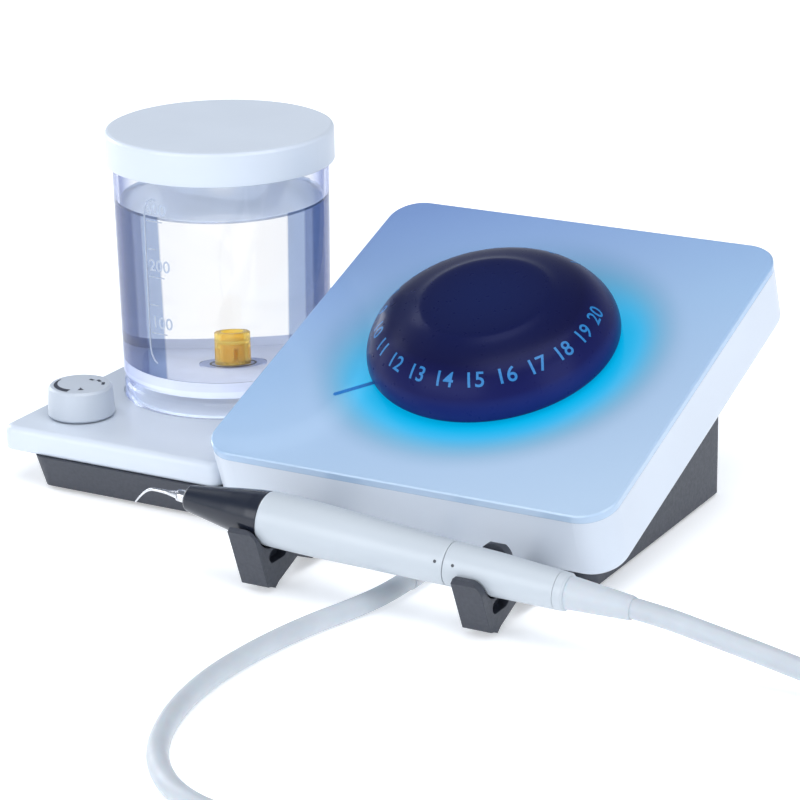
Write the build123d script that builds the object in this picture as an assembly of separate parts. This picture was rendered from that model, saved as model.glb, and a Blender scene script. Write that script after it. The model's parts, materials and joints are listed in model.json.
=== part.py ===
from build123d import *
import os
from math import cos, pi, radians, sin, tan

os.makedirs("parts", exist_ok=True)

# Table-top ultrasonic scaler. Millimetres, +Z up, front faces -Y, feet stand on Z = 0.

# Driving dimensions: console
CONSOLE_W = 155.0
CONSOLE_D = 156.0
CONSOLE_T = 26.5
CONSOLE_TILT = 20.0
CONSOLE_LEFT = -31.0
CONSOLE_FRONT = -57.0
CONSOLE_FRONT_Z = 33.0
CORNER_R = 12.0
PLATE_T = 3.0
WALL = 2.5
GAP = 0.3

# Driving dimensions: base and platform
BASE_LEFT = -109.4
BASE_RIGHT = 112.5
BASE_FRONT = -41.5
BASE_BACK = 65.0
BASE_BOTTOM = 1.5
BASE_UNDERCUT = 3.4
BASE_SPLIT = -31.3
PLATFORM_LEFT = -125.0
PLATFORM_FRONT = -44.0
PLATFORM_BACK = 78.0
PLATFORM_UNDER = 13.5
PLATFORM_TOP = 22.7
PLATFORM_RIGHT = CONSOLE_LEFT - 0.8

# Driving dimensions: dial
DIAL_R = 45.0
DIAL_H = 22.3
SHAFT_R = 3.0

# Driving dimensions: tank and flow knob
TANK_X = -74.7
TANK_Y = 31.4
TANK_FOOT_R = 38.7
TANK_TOP_R = 40.0
TANK_WALL = 2.0
TANK_FLOOR_Z = 33.0
TANK_RIM_Z = 119.0
LID_R = 42.0
LID_H = 12.4
LID_TOP_Z = 123.1
OUTLET_OFFSET = (-1.2, 4.4)
OUTLET_X = TANK_X + OUTLET_OFFSET[0]
OUTLET_Y = TANK_Y + OUTLET_OFFSET[1]
KNOB_X = -105.3
KNOB_Y = -21.0
KNOB_H = 11.7

# Driving dimensions: handpiece, along its own axis from the joint with its hose connector
JOINT_POINT = (84.8, -87.0, 22.33)
HANDPIECE_DROOP = 3.0
NOSE_FRONT = -100.3
NOSE_BACK = -69.0
SLEEVE_END = 42.0
RELIEF_END = 64.0
HOSE_D = 6.8
HOLDER_W = 10.4
HOLDER_LEFT_X = 12.1
HOLDER_RIGHT_X = 95.5
GLAND_X = 58.0
GLAND_Z = 4.9
GLAND_END_Y = -69.0

console = Plane(
    origin=(CONSOLE_LEFT, CONSOLE_FRONT, CONSOLE_FRONT_Z),
    x_dir=(1, 0, 0),
    z_dir=(0, -sin(radians(CONSOLE_TILT)), cos(radians(CONSOLE_TILT))),
).location
dial_place = console * Pos(CONSOLE_W / 2, CONSOLE_D / 2, 0)
handpiece_place = Pos(*JOINT_POINT) * Rot(0, HANDPIECE_DROOP, 0)


def save(name, *shapes):
    """Writes one node: a single solid, or a group of separate ones."""
    solids = [solid for shape in shapes for solid in shape.solids()]
    whole = solids[0] if len(solids) == 1 else Compound(children=solids)
    export_step(whole, f"parts/{name}.step")
    return whole


def block(x, y, z):
    """A box between two values on each axis."""
    middle = Pos(sum(x) / 2, sum(y) / 2, sum(z) / 2)
    return middle * Box(x[1] - x[0], y[1] - y[0], z[1] - z[0])


def rod(radius, low, high):
    """A cylinder on the Z axis."""
    return Pos(0, 0, (low + high) / 2) * Cylinder(radius, high - low)


def ring(outer, inner, low, high):
    return rod(outer, low, high) - rod(inner, low - 1, high + 1)


def rounded_slab(width, depth, radius, low, high):
    """An upright prism with rounded corners, its first corner at the origin."""
    outline = Pos(width / 2, depth / 2, low) * RectangleRounded(width, depth, radius)
    return extrude(outline, amount=high - low)


def turned(profile, axis=Axis.Z):
    """A body of revolution. The profile's points are (radius, height), or (length, radius) about X."""
    plane = Plane.XY if axis == Axis.X else Plane.XZ
    return revolve(make_face(plane * Polyline(*profile, close=True)), axis)


def console_under(y):
    """Height of the console's underside at a given depth."""
    tilt = radians(CONSOLE_TILT)
    front = CONSOLE_FRONT + CONSOLE_T * sin(tilt)
    return CONSOLE_FRONT_Z - CONSOLE_T * cos(tilt) + (y - front) * tan(tilt)


# ---------------------------------------------------------------- base
def wedge(x, y, low, drop):
    """A prism under the console, its top parallel to the console's underside and drop below it."""
    front_top = console_under(y[0]) - drop
    back_top = console_under(y[1]) - drop
    side = Polyline((y[0], low), (y[1], low), (y[1], back_top), (y[0], front_top), close=True)
    return extrude(Plane.YZ.offset(x[0]) * make_face(side), amount=x[1] - x[0])


PAN_H = PLATFORM_UNDER - BASE_BOTTOM
PAN_W = BASE_SPLIT + 12 - BASE_LEFT
PAN_D = BASE_BACK - BASE_FRONT
PAN_DRAFT = -BASE_UNDERCUT / PAN_H * 180 / pi
pan_middle = Pos(BASE_LEFT + PAN_W / 2, BASE_FRONT + PAN_D / 2, BASE_BOTTOM)
pan = extrude(pan_middle * RectangleRounded(PAN_W, PAN_D, 3.5), amount=PAN_H, taper=PAN_DRAFT)
pan_room = extrude(
    pan_middle * RectangleRounded(PAN_W - 2 * WALL, PAN_D - 2 * WALL, 5),
    amount=PAN_H - WALL,
)
right_block = wedge((BASE_SPLIT, BASE_RIGHT), (BASE_FRONT, BASE_BACK), BASE_BOTTOM, 0)
right_block = fillet(right_block.edges().filter_by(Axis.Z).group_by(Axis.X)[-1], 5)
right_room = wedge(
    (BASE_SPLIT + WALL, BASE_RIGHT - WALL), (BASE_FRONT + WALL, BASE_BACK - WALL), BASE_BOTTOM, 0
)
base_housing = pan + right_block - pan_room - right_room

FEET = [(x, y) for x in (BASE_LEFT + 12, BASE_RIGHT - 12) for y in (BASE_FRONT + 11, BASE_BACK - 11)]
BOSS_R = 4.2
BOSSES = [
    (BASE_LEFT + 26, BASE_FRONT + 5.5, PLATFORM_UNDER - 1),
    (BASE_LEFT + 26, BASE_BACK - 5.5, PLATFORM_UNDER - 1),
    (BASE_RIGHT - 42, BASE_FRONT + 5.5, 9.4),
    (BASE_RIGHT - 42, BASE_BACK - 5.5, 26.0),
    (0.0, BASE_FRONT + 5.5, 9.4),
    (0.0, BASE_BACK - 5.5, 26.0),
]
COVER_TOP = BASE_BOTTOM + 2.2
SCREW_R = 1.5
for x, y, top in BOSSES:
    base_housing += Pos(x, y, 0) * rod(BOSS_R, COVER_TOP, top)
for x, y, top in BOSSES:
    base_housing -= Pos(x, y, 0) * rod(SCREW_R, COVER_TOP - 1, top - 1.2)

# Ledges that the console is screwed down on, parallel to its underside
LEDGE_T = 3.0
LEDGE_SPOTS = [(9.0, 26.0), (137.0, 26.0), (9.0, 108.0), (137.0, 108.0)]
for u, v in LEDGE_SPOTS:
    side = -4.5 if u < CONSOLE_W / 2 else 4.5
    ledge = Pos(u + side, v, -CONSOLE_T - LEDGE_T / 2) * Box(18, 12, LEDGE_T)
    hole = Pos(u, v, 0) * rod(SCREW_R + 0.2, -CONSOLE_T - LEDGE_T - 1, -CONSOLE_T + 1)
    base_housing += (console * (ledge - hole)) & (right_block + pan)

# Openings in the walls
SWITCH_X = 88.0
SWITCH_Z = 27.0
POWER_X = 56.0
FOOTSWITCH_X = 26.0
SOCKET_Z = 22.0
SOCKET_BODY_R = 8.0


def along_y(shape, x, z, y):
    """Turns a shape on the Z axis to point out of the back wall."""
    return Pos(x, y, z) * Rot(-90, 0, 0) * shape


base_housing -= block(
    (SWITCH_X - 9.2, SWITCH_X + 9.2), (BASE_BACK - 4, BASE_BACK + 1), (SWITCH_Z - 6.2, SWITCH_Z + 6.2)
)
for x in (POWER_X, FOOTSWITCH_X):
    base_housing -= along_y(rod(SOCKET_BODY_R, -4, 1), x, SOCKET_Z, BASE_BACK)
GLAND_R = 3.85
GLAND_NECK_R = 3.2
base_housing -= Pos(GLAND_X, BASE_FRONT, GLAND_Z) * Rot(90, 0, 0) * rod(GLAND_NECK_R, -4, 1)
HOLDER_SCREW_X = 6.5
HOLDER_FLANGE_Z = 5.3
for x in (HOLDER_LEFT_X, HOLDER_RIGHT_X):
    for side in (-1, 1):
        hole = Pos(x + side * HOLDER_SCREW_X, BASE_FRONT, HOLDER_FLANGE_Z) * Rot(90, 0, 0)
        base_housing -= hole * rod(1.25, -4, 1)
# Passages for the tank seat and the water tubes, up into the platform
base_housing -= Pos(OUTLET_X, OUTLET_Y, 0) * rod(7.0, 9, PLATFORM_UNDER + 1)
VALVE_TUBE_X = KNOB_X + 22
PORT_HOLE_R = 6.2
PORT_Y = 3.2
base_housing -= Pos(VALVE_TUBE_X, KNOB_Y, 0) * rod(PORT_HOLE_R, 9, PLATFORM_UNDER + 1)
envelope = rounded_slab(CONSOLE_W, CONSOLE_D, CORNER_R, -CONSOLE_T, 0)
base_housing -= console * envelope
save("base_housing", base_housing)

# Bottom cover with vents, its screws and the feet
FOOT_R = 6.5
FOOT_SEAT = 0.9
cover_w = BASE_RIGHT - BASE_LEFT - 2 * WALL - 0.4
cover_d = PAN_D - 2 * WALL - 0.4
bottom_cover = Pos(BASE_LEFT + WALL + 0.2, BASE_FRONT + WALL + 0.2, 0) * rounded_slab(
    cover_w, cover_d, 4.5, BASE_BOTTOM, COVER_TOP
)
for x, y, top in BOSSES:
    bottom_cover -= Pos(x, y, 0) * rod(SCREW_R + 0.2, 0, 9)
    bottom_cover -= Pos(x, y, 0) * rod(3.0, 0, BASE_BOTTOM + 0.9)
for x, y in FEET:
    bottom_cover -= Pos(x, y, 0) * rod(FOOT_R, 0, BASE_BOTTOM + FOOT_SEAT)
bottom_cover -= block(
    (GLAND_X - 3, GLAND_X + 3), (BASE_FRONT, BASE_FRONT + 16), (COVER_TOP - 1, COVER_TOP + 1)
)
for i in range(9):
    bottom_cover -= block((30 + 6 * i, 33 + 6 * i), (28, 52), (0, 9))
save("bottom_cover", bottom_cover)

feet = []
for x, y in FEET:
    foot = rod(FOOT_R, 0, BASE_BOTTOM + FOOT_SEAT)
    feet.append(Pos(x, y, 0) * chamfer(foot.edges().sort_by(Axis.Z)[0], 0.7))
save("rubber_feet", *feet)


def pan_screw(length, head_r=2.7, head_h=1.3, radius=SCREW_R - 0.05):
    """A pan-head screw pointing up, its head's underside at zero, with a cross recess."""
    screw = rod(head_r, -head_h, 0) + rod(radius, 0, length)
    for angle in (0, 90):
        screw -= Rot(0, 0, angle) * Pos(0, 0, -head_h) * Box(head_r * 1.2, 0.6, 1.2)
    return screw


cover_screws = [
    Pos(x, y, BASE_BOTTOM + 0.9) * pan_screw(top - 4.2, head_r=2.9, head_h=0.8) for x, y, top in BOSSES
]
# ---------------------------------------------------------------- console
SHELL_BOTTOM = -CONSOLE_T
SHELL_TOP = -PLATE_T
SHELL_FLOOR = SHELL_BOTTOM + WALL
shell = rounded_slab(CONSOLE_W, CONSOLE_D, CORNER_R, SHELL_BOTTOM, SHELL_TOP)
shell = fillet(shell.edges().group_by(Axis.Z)[0], 3.5)
room = Pos(WALL, WALL, 0) * rounded_slab(
    CONSOLE_W - 2 * WALL, CONSOLE_D - 2 * WALL, CORNER_R - WALL, SHELL_FLOOR, SHELL_TOP + 1
)
shell -= room
# Ledge under the plate's edge, screw bosses, cable passage
rim = Pos(WALL, WALL, 0) * rounded_slab(
    CONSOLE_W - 2 * WALL, CONSOLE_D - 2 * WALL, CORNER_R - WALL, SHELL_TOP - 2, SHELL_TOP
)
rim -= Pos(WALL + 4, WALL + 4, 0) * rounded_slab(
    CONSOLE_W - 2 * WALL - 8, CONSOLE_D - 2 * WALL - 8, CORNER_R - WALL - 4, SHELL_TOP - 3, SHELL_TOP + 1
)
shell += rim
for u, v in LEDGE_SPOTS:
    shell += Pos(u, v, 0) * rod(3.6, SHELL_FLOOR - 0.5, SHELL_FLOOR + 4)
    shell -= Pos(u, v, 0) * rod(SCREW_R, SHELL_BOTTOM - 1, SHELL_FLOOR + 3.5)
shell -= block((45, 110), (60, 100), (SHELL_BOTTOM - 1, SHELL_FLOOR + 1))
save("console_shell", console * shell)

console_screws = [
    console * Pos(u, v, SHELL_BOTTOM - LEDGE_T) * pan_screw(8.5) for u, v in LEDGE_SPOTS
]
save("case_screws", *cover_screws, *console_screws)

DIAL_U = CONSOLE_W / 2
DIAL_V = CONSOLE_D / 2
PLATE_HOLE_R = 8.0
plate = rounded_slab(CONSOLE_W, CONSOLE_D, CORNER_R, -PLATE_T, 0)
plate = chamfer(plate.edges().group_by(Axis.Z)[-1], 0.5)
plate -= Pos(DIAL_U, DIAL_V, 0) * rod(PLATE_HOLE_R, -PLATE_T - 1, 1)
save("top_plate", console * plate)

# Light guide under the plate and the board that lights it
GUIDE_LOW = -PLATE_T - 2.4
light_guide = turned(
    [
        (36.0, -PLATE_T),
        (50.0, -PLATE_T),
        (48.0, GUIDE_LOW),
        (38.0, GUIDE_LOW),
    ]
)
save("light_guide", dial_place * light_guide)

LED_BOARD_TOP = GUIDE_LOW - 1.4
led_board = ring(50.0, 32.0, LED_BOARD_TOP - 1.2, LED_BOARD_TOP)
LED_COUNT = 16
leds = []
for i in range(LED_COUNT):
    leds.append(Rot(0, 0, 360 / LED_COUNT * i) * Pos(43, 0, LED_BOARD_TOP + 0.6) * Box(3.4, 2.8, 1.2))
save("led_board", dial_place * led_board, *[dial_place * led for led in leds])

# ---------------------------------------------------------------- dial
DIAL_UNDER = 0.6
BUSH_LOW = -9.0
dial_bush = ring(PLATE_HOLE_R, SHAFT_R + 0.05, -PLATE_T, 0) + ring(12, SHAFT_R + 0.05, BUSH_LOW, -PLATE_T)
save("dial_bush", dial_place * dial_bush)

outside = Spline(
    [(DIAL_R, 3.2), (DIAL_R - 2.6, 11.0), (DIAL_R - 8.5, 17.0), (DIAL_R - 18, 20.4), (0, DIAL_H)],
    tangents=[(0, 1), (-1, 0)],
)
inside = Spline(
    [(DIAL_R - 2.6, 3.2), (DIAL_R - 5.0, 9.8), (DIAL_R - 10.4, 14.8), (DIAL_R - 19, 17.9), (0, DIAL_H - 2.6)],
    tangents=[(0, 1), (-1, 0)],
)
lip = ThreePointArc((DIAL_R - 2.0, DIAL_UNDER), (DIAL_R - 0.6, 1.4), (DIAL_R, 3.2))
foot_line = Line((DIAL_R - 2.6, DIAL_UNDER), (DIAL_R - 2.0, DIAL_UNDER))
inner_wall = Line((DIAL_R - 2.6, DIAL_UNDER), (DIAL_R - 2.6, 3.2))
crown = Line((0, DIAL_H), (0, DIAL_H - 2.6))
dome_outline = Curve() + [outside, inside, lip, foot_line, inner_wall, crown]
dial_dome = revolve(make_face(Plane.XZ * dome_outline), Axis.Z)
save("dial_dome", dial_place * dial_dome)

# Carrier disc inside the dome, with the hub that clamps on the shaft
HUB_R = 7.0
CARRIER_R = DIAL_R - 3.0
dial_carrier = rod(CARRIER_R, 1.0, 3.0) + rod(HUB_R, 1.0, 14.0)
for i in range(6):
    web = Pos(CARRIER_R / 2, 0, 5.5) * Box(CARRIER_R - 6, 1.6, 5)
    dial_carrier += Rot(0, 0, 60 * i) * web
dial_carrier -= rod(SHAFT_R, 0, 12)
save("dial_carrier", dial_place * dial_carrier)

ENCODER_TOP = -10.5
SHAFT_LOW = -16.0
dial_shaft = rod(SHAFT_R, SHAFT_LOW, 12.0) - Pos(SHAFT_R, 0, 8) * Box(1.2, 6, 7)
save("dial_shaft", dial_place * dial_shaft)

BOARD_TOP = -18.0
BOARD_T = 1.6
encoder = Pos(0, 0, (ENCODER_TOP + BOARD_TOP) / 2) * Box(15, 15, ENCODER_TOP - BOARD_TOP)
encoder -= rod(SHAFT_R + 0.05, SHAFT_LOW - 0.4, ENCODER_TOP + 1)
save("dial_encoder", dial_place * encoder)

# ---------------------------------------------------------------- boards
BOARD_U = (16.0, 139.0)
BOARD_V = (34.0, 132.0)
control_board = block(BOARD_U, BOARD_V, (BOARD_TOP - BOARD_T, BOARD_TOP))
STANDOFF_SPOTS = [
    (u, v) for u in (BOARD_U[0] + 5, BOARD_U[1] - 5) for v in (BOARD_V[0] + 5, BOARD_V[1] - 5)
]
for u, v in STANDOFF_SPOTS:
    control_board -= Pos(u, v, 0) * rod(1.6, BOARD_TOP - 3, BOARD_TOP + 1)
chips = [
    block((28, 42), (48, 62), (BOARD_TOP, BOARD_TOP + 1.6)),
    block((112, 124), (46, 54), (BOARD_TOP, BOARD_TOP + 1.8)),
    block((112, 128), (104, 112), (BOARD_TOP, BOARD_TOP + 5.5)),
    block((30, 50), (112, 118), (BOARD_TOP, BOARD_TOP + 7)),
]
save("control_board", console * control_board, *[console * chip for chip in chips])

standoffs = []
board_screws = []
for u, v in STANDOFF_SPOTS:
    standoffs.append(console * Pos(u, v, 0) * ring(3.0, 1.25, SHELL_FLOOR, BOARD_TOP - BOARD_T))
    screw = Pos(u, v, BOARD_TOP) * Rot(180, 0, 0) * pan_screw(5.0, radius=1.2)
    board_screws.append(console * screw)

POWER_BOARD_Z = 9.0
POWER_BOARD_X = (24.0, 104.0)
POWER_BOARD_Y = (-22.0, 48.0)
generator_board = block(POWER_BOARD_X, POWER_BOARD_Y, (POWER_BOARD_Z, POWER_BOARD_Z + BOARD_T))
for x in (POWER_BOARD_X[0] + 4, POWER_BOARD_X[1] - 4):
    for y in (POWER_BOARD_Y[0] + 4, POWER_BOARD_Y[1] - 4):
        generator_board -= Pos(x, y, 0) * rod(1.6, 0, 20)
        standoffs.append(Pos(x, y, 0) * ring(3.0, 1.25, COVER_TOP, POWER_BOARD_Z))
        screw = Pos(x, y, POWER_BOARD_Z + BOARD_T) * Rot(180, 0, 0) * pan_screw(5.0, radius=1.2)
        board_screws.append(screw)
save("generator_board", generator_board)
save("board_standoffs", *standoffs)

POWER_TOP = POWER_BOARD_Z + BOARD_T
transformer = Pos(84, 22, POWER_TOP) * (ring(10, 4, 0, 10) + rod(4, 0, 1))
capacitors = [Pos(38 + 14 * i, 30, POWER_TOP) * rod(5.0, 0, 14) for i in range(3)]
heat_sink = block((36, 66), (0, 14), (POWER_TOP, POWER_TOP + 2.5))
for i in range(6):
    heat_sink += block((36 + 5.6 * i, 38 + 5.6 * i), (0, 14), (POWER_TOP, POWER_TOP + 10))
save("generator_parts", transformer, heat_sink, *capacitors)

# ---------------------------------------------------------------- back wall fittings
FRAME_W = 11.5
FRAME_H = 8.0
switch_frame = block(
    (SWITCH_X - FRAME_W, SWITCH_X + FRAME_W),
    (BASE_BACK, BASE_BACK + 1.6),
    (SWITCH_Z - FRAME_H, SWITCH_Z + FRAME_H),
)
switch_frame += block(
    (SWITCH_X - 9, SWITCH_X + 9), (BASE_BACK - 12, BASE_BACK + 0.5), (SWITCH_Z - 6, SWITCH_Z + 6)
)
switch_frame -= block(
    (SWITCH_X - 7.6, SWITCH_X + 7.6), (BASE_BACK - 8, BASE_BACK + 3), (SWITCH_Z - 4.6, SWITCH_Z + 4.6)
)
PIVOT_Y = BASE_BACK - 2.0
PIVOT_R = 0.9
pivot_bar = Pos(SWITCH_X, PIVOT_Y, SWITCH_Z) * rod(PIVOT_R, -5, 5)
switch_frame += pivot_bar
save("switch_frame", switch_frame)

ROCKER_TILT = 6.0
rocker = Polyline(
    (-7.2, 1.9), (0, 3.2), (7.2, 1.9), (7.0, -1.5), (2.6, -4.0), (-2.6, -4.0), (-7.0, -1.5), close=True
)
power_switch = extrude(make_face(rocker), amount=4.3, both=True)
power_switch -= rod(PIVOT_R + 0.08, -6, 6)
switch_place = Pos(SWITCH_X, PIVOT_Y, SWITCH_Z) * Rot(0, 0, ROCKER_TILT)
save("power_switch", switch_place * power_switch)


def round_socket(bore_r, bore_length, contacts):
    """A panel socket pointing up out of a wall at zero: flange, barrel and contact holes."""
    socket = rod(SOCKET_BODY_R + 1.6, 0, 1.4) + rod(SOCKET_BODY_R - 0.1, -13, 0.5)
    socket -= rod(bore_r, 1.4 - bore_length, 2)
    for i in range(contacts):
        contact = Pos(bore_r * 0.55, 0, 0) * rod(0.6, -11, 0)
        socket -= Rot(0, 0, 360 / contacts * i) * contact
    return socket


POWER_BORE_R = 5.5
POWER_BORE_L = 9.0
FOOTSWITCH_BORE_R = 4.6
FOOTSWITCH_BORE_L = 8.0
save("power_socket", along_y(round_socket(POWER_BORE_R, POWER_BORE_L, 2), POWER_X, SOCKET_Z, BASE_BACK))
save(
    "footswitch_socket",
    along_y(round_socket(FOOTSWITCH_BORE_R, FOOTSWITCH_BORE_L, 4), FOOTSWITCH_X, SOCKET_Z, BASE_BACK),
)

# ---------------------------------------------------------------- water pump inside the base
PUMP_X = -8.0
PUMP_Y = 38.0
PUMP_Z = COVER_TOP
pump_place = Pos(PUMP_X, PUMP_Y, PUMP_Z)
TRACK_R = 14.0
TUBE_R = 1.5
loop_r = TRACK_R - TUBE_R - 0.1
pump_head = rod(17, 0, 13) - rod(TRACK_R, 2, 14)
for side in (-1, 1):
    pump_head -= Pos(side * loop_r, -10, 8.5) * Box(2 * TUBE_R + 0.6, 20, 11)
pump_head -= rod(SHAFT_R / 2 + 0.05, 1, 3)
save("pump_head", pump_place * pump_head)
pump_motor = rod(12, 13.2, 30) - rod(1.6, 13, 16) + ring(16, 9, 13, 14.2)
save("pump_motor", pump_place * pump_motor)
ROLLER_R = 3.0
ROLLER_AT = 7.0
rotor = rod(5.0, 3.0, 12.0) + rod(10.4, 3.0, 4.2) + rod(10.4, 10.8, 12.0) + rod(1.5, 1.2, 15.5)
rollers = []
for i in range(3):
    at = Rot(0, 0, 120 * i) * Pos(ROLLER_AT, 0, 0)
    rotor -= at * rod(ROLLER_R + 0.3, 4.2, 10.8)
    rotor += at * rod(1.0, 3.5, 11.5)
    rollers.append(pump_place * at * ring(ROLLER_R, 1.05, 4.5, 10.5))
save("pump_rotor", pump_place * rotor)
save("pump_rollers", *rollers)
TUBE_Z = 7.5
LEG_END = -17.2
left_leg = Line((-loop_r, LEG_END, TUBE_Z), (-loop_r, 0, TUBE_Z))
bend = ThreePointArc((-loop_r, 0, TUBE_Z), (0, loop_r, TUBE_Z), (loop_r, 0, TUBE_Z))
right_leg = Line((loop_r, 0, TUBE_Z), (loop_r, LEG_END, TUBE_Z))


def tube_along(path, radius, bore=0.0):
    """A round tube swept along a path, with an optional bore."""
    section = Plane(origin=path @ 0, z_dir=path % 0) * Circle(radius)
    if bore:
        section -= Plane(origin=path @ 0, z_dir=path % 0) * Circle(bore)
    return sweep(section, path=path)


save("pump_tube", pump_place * tube_along(Wire([left_leg, bend, right_leg]), TUBE_R, 0.9))

# ---------------------------------------------------------------- platform, seat and flow valve
PLATE_UNDER = PLATFORM_UNDER + 1.6
platform_w = PLATFORM_RIGHT - PLATFORM_LEFT
platform_d = PLATFORM_BACK - PLATFORM_FRONT
platform_corner = Pos(PLATFORM_LEFT, PLATFORM_FRONT, 0)
platform = rounded_slab(platform_w, platform_d, 4.5, PLATFORM_UNDER, PLATFORM_TOP)
platform = fillet(platform.edges().group_by(Axis.Z)[-1], 2.6)
platform = fillet(platform.edges().group_by(Axis.Z)[0], 1.2)
inner = Pos(WALL + 1, WALL + 1, 0) * rounded_slab(
    platform_w - 2 * WALL - 2, platform_d - 2 * WALL - 2, 3, PLATFORM_UNDER - 1, PLATFORM_TOP - WALL
)
platform = platform_corner * (platform - inner)
SEAT_R = 7.5
platform -= Pos(OUTLET_X, OUTLET_Y, 0) * rod(SEAT_R, 15, 30)
platform -= Pos(KNOB_X, KNOB_Y, 0) * rod(3.2, 15, 30)
# Shallow ring that the tank's foot stands in
platform -= Pos(TANK_X, TANK_Y, PLATFORM_TOP) * ring(TANK_FOOT_R + 0.5, TANK_FOOT_R - 3.5, -0.7, 1)
save("tank_platform", platform)

platform_floor = platform_corner * Pos(WALL + 1.2, WALL + 1.2, 0) * rounded_slab(
    platform_w - 2 * WALL - 2.4, platform_d - 2 * WALL - 2.4, 2.8, PLATFORM_UNDER, PLATE_UNDER
)
platform_floor -= Pos(OUTLET_X, OUTLET_Y, 0) * rod(7.0, 9, 20)
platform_floor -= Pos(VALVE_TUBE_X, KNOB_Y, 0) * rod(PORT_HOLE_R, 9, 20)
save("platform_floor", platform_floor)

seat_place = Pos(OUTLET_X, OUTLET_Y, 0)
NIPPLE_R = 4.0
SEAT_BORE_R = NIPPLE_R + 0.2
ORING_T = 1.2
tank_seat = rod(SEAT_R - 0.1, PLATE_UNDER, PLATFORM_TOP) + rod(6.8, 8.5, PLATE_UNDER + 1)
tank_seat -= rod(SEAT_BORE_R, 13.5, 30)
tank_seat -= rod(1.4, 5, 14)
tank_seat -= rod(SEAT_BORE_R + 1.5, 18.8, 18.8 + ORING_T + 0.2)
save("tank_seat", seat_place * tank_seat)
seat_oring = Pos(0, 0, 18.9 + ORING_T / 2) * Torus(SEAT_BORE_R + ORING_T / 2 + 0.05, ORING_T / 2)
save("seat_oring", seat_place * seat_oring)

valve_place = Pos(KNOB_X, KNOB_Y, 0)
VALVE_TOP = PLATFORM_TOP - WALL
flow_valve = block((-6, 16), (-6, 6), (PLATE_UNDER, VALVE_TOP)) - rod(2.55, PLATE_UNDER + 1, 30)
flow_valve += block((15, 25), (-5.6, 5.6), (PLATE_UNDER, PLATE_UNDER + 3))
save("flow_valve", valve_place * flow_valve)

knob_shaft = rod(2.5, PLATE_UNDER + 1.2, PLATFORM_TOP + 7) - Pos(2.5, 0, PLATFORM_TOP + 5) * Box(1.4, 5, 6)
save("knob_shaft", valve_place * knob_shaft)
knob_body = turned(
    [
        (0, 0.5),
        (11.7, 0.5),
        (12.3, 1.2),
        (11.7, KNOB_H - 0.9),
        (10.9, KNOB_H),
        (0, KNOB_H),
    ]
)
knob_body -= ring(10.6, 4.6, 0, KNOB_H - 2.4)
knob_body -= rod(2.5, 0, 7.0)
save("flow_knob", valve_place * Pos(0, 0, PLATFORM_TOP) * knob_body)

# Water tubes inside the base
WATER_R = 1.7


def water_tube(points, radius=1.85):
    path = FilletPolyline(*points, radius=radius)
    return tube_along(path, WATER_R, 1.0)


def on_pump(side):
    """Where a leg of the pump's tube ends: -1 is the inlet, 1 the outlet."""
    return (PUMP_X + side * loop_r, PUMP_Y + LEG_END - 0.1, PUMP_Z + TUBE_Z)


TUBE_LOW = 6.3
seat_to_valve = water_tube(
    [
        (OUTLET_X, OUTLET_Y, 8.4),
        (OUTLET_X, OUTLET_Y, TUBE_LOW),
        (VALVE_TUBE_X, KNOB_Y + PORT_Y, TUBE_LOW),
        (VALVE_TUBE_X, KNOB_Y + PORT_Y, PLATE_UNDER - 0.1),
    ]
)
valve_to_pump = water_tube(
    [
        (VALVE_TUBE_X, KNOB_Y - PORT_Y, PLATE_UNDER - 0.1),
        (VALVE_TUBE_X, KNOB_Y - PORT_Y, TUBE_LOW),
        (PUMP_X - loop_r - 4, KNOB_Y, TUBE_LOW),
        (on_pump(-1)[0], PUMP_Y - 30, on_pump(-1)[2]),
        on_pump(-1),
    ]
)
pump_to_gland = water_tube(
    [
        on_pump(1),
        (on_pump(1)[0], PUMP_Y - 32, on_pump(1)[2]),
        (on_pump(1)[0] + 4, BASE_FRONT + 16, 6.0),
        (GLAND_X - 10, BASE_FRONT + 12.5, 5.4),
        (GLAND_X, BASE_FRONT + 9, GLAND_Z),
        (GLAND_X, BASE_FRONT + WALL + 0.1, GLAND_Z),
    ]
)
save("water_tubes", seat_to_valve, valve_to_pump, pump_to_gland)

# ---------------------------------------------------------------- tank, lid and filter
tank_place = Pos(TANK_X, TANK_Y, 0)
FOOT_Z = PLATFORM_TOP - 0.4
STEP_Z = FOOT_Z + 6.0
tank_wall = [
    (TANK_FOOT_R - 2.2, FOOT_Z),
    (TANK_FOOT_R, FOOT_Z),
    (TANK_FOOT_R, STEP_Z - 0.8),
    (TANK_FOOT_R - 0.8, STEP_Z),
    (TANK_FOOT_R - 0.3, STEP_Z + 2.4),
    (TANK_FOOT_R + 0.2, STEP_Z + 3.4),
    (TANK_TOP_R, TANK_RIM_Z),
    (TANK_TOP_R - TANK_WALL, TANK_RIM_Z),
    (TANK_FOOT_R + 0.2 - TANK_WALL, TANK_FLOOR_Z + 3.0),
    (TANK_FOOT_R - TANK_WALL - 2.6, TANK_FLOOR_Z),
    (0, TANK_FLOOR_Z),
    (0, TANK_FLOOR_Z - 2.2),
    (TANK_FOOT_R - 2.8, TANK_FLOOR_Z - 2.2),
]
tank = turned(tank_wall)
outlet = Pos(*OUTLET_OFFSET, 0)
nipple = outlet * (rod(9.0, TANK_FLOOR_Z - 3.5, TANK_FLOOR_Z + 0.8) + rod(NIPPLE_R, 14.2, TANK_FLOOR_Z))
tank += nipple
OUTLET_BORE_R = 2.4
tank -= outlet * rod(OUTLET_BORE_R, 10, TANK_FLOOR_Z + 2)
save("tank_body", tank_place * tank)

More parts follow.
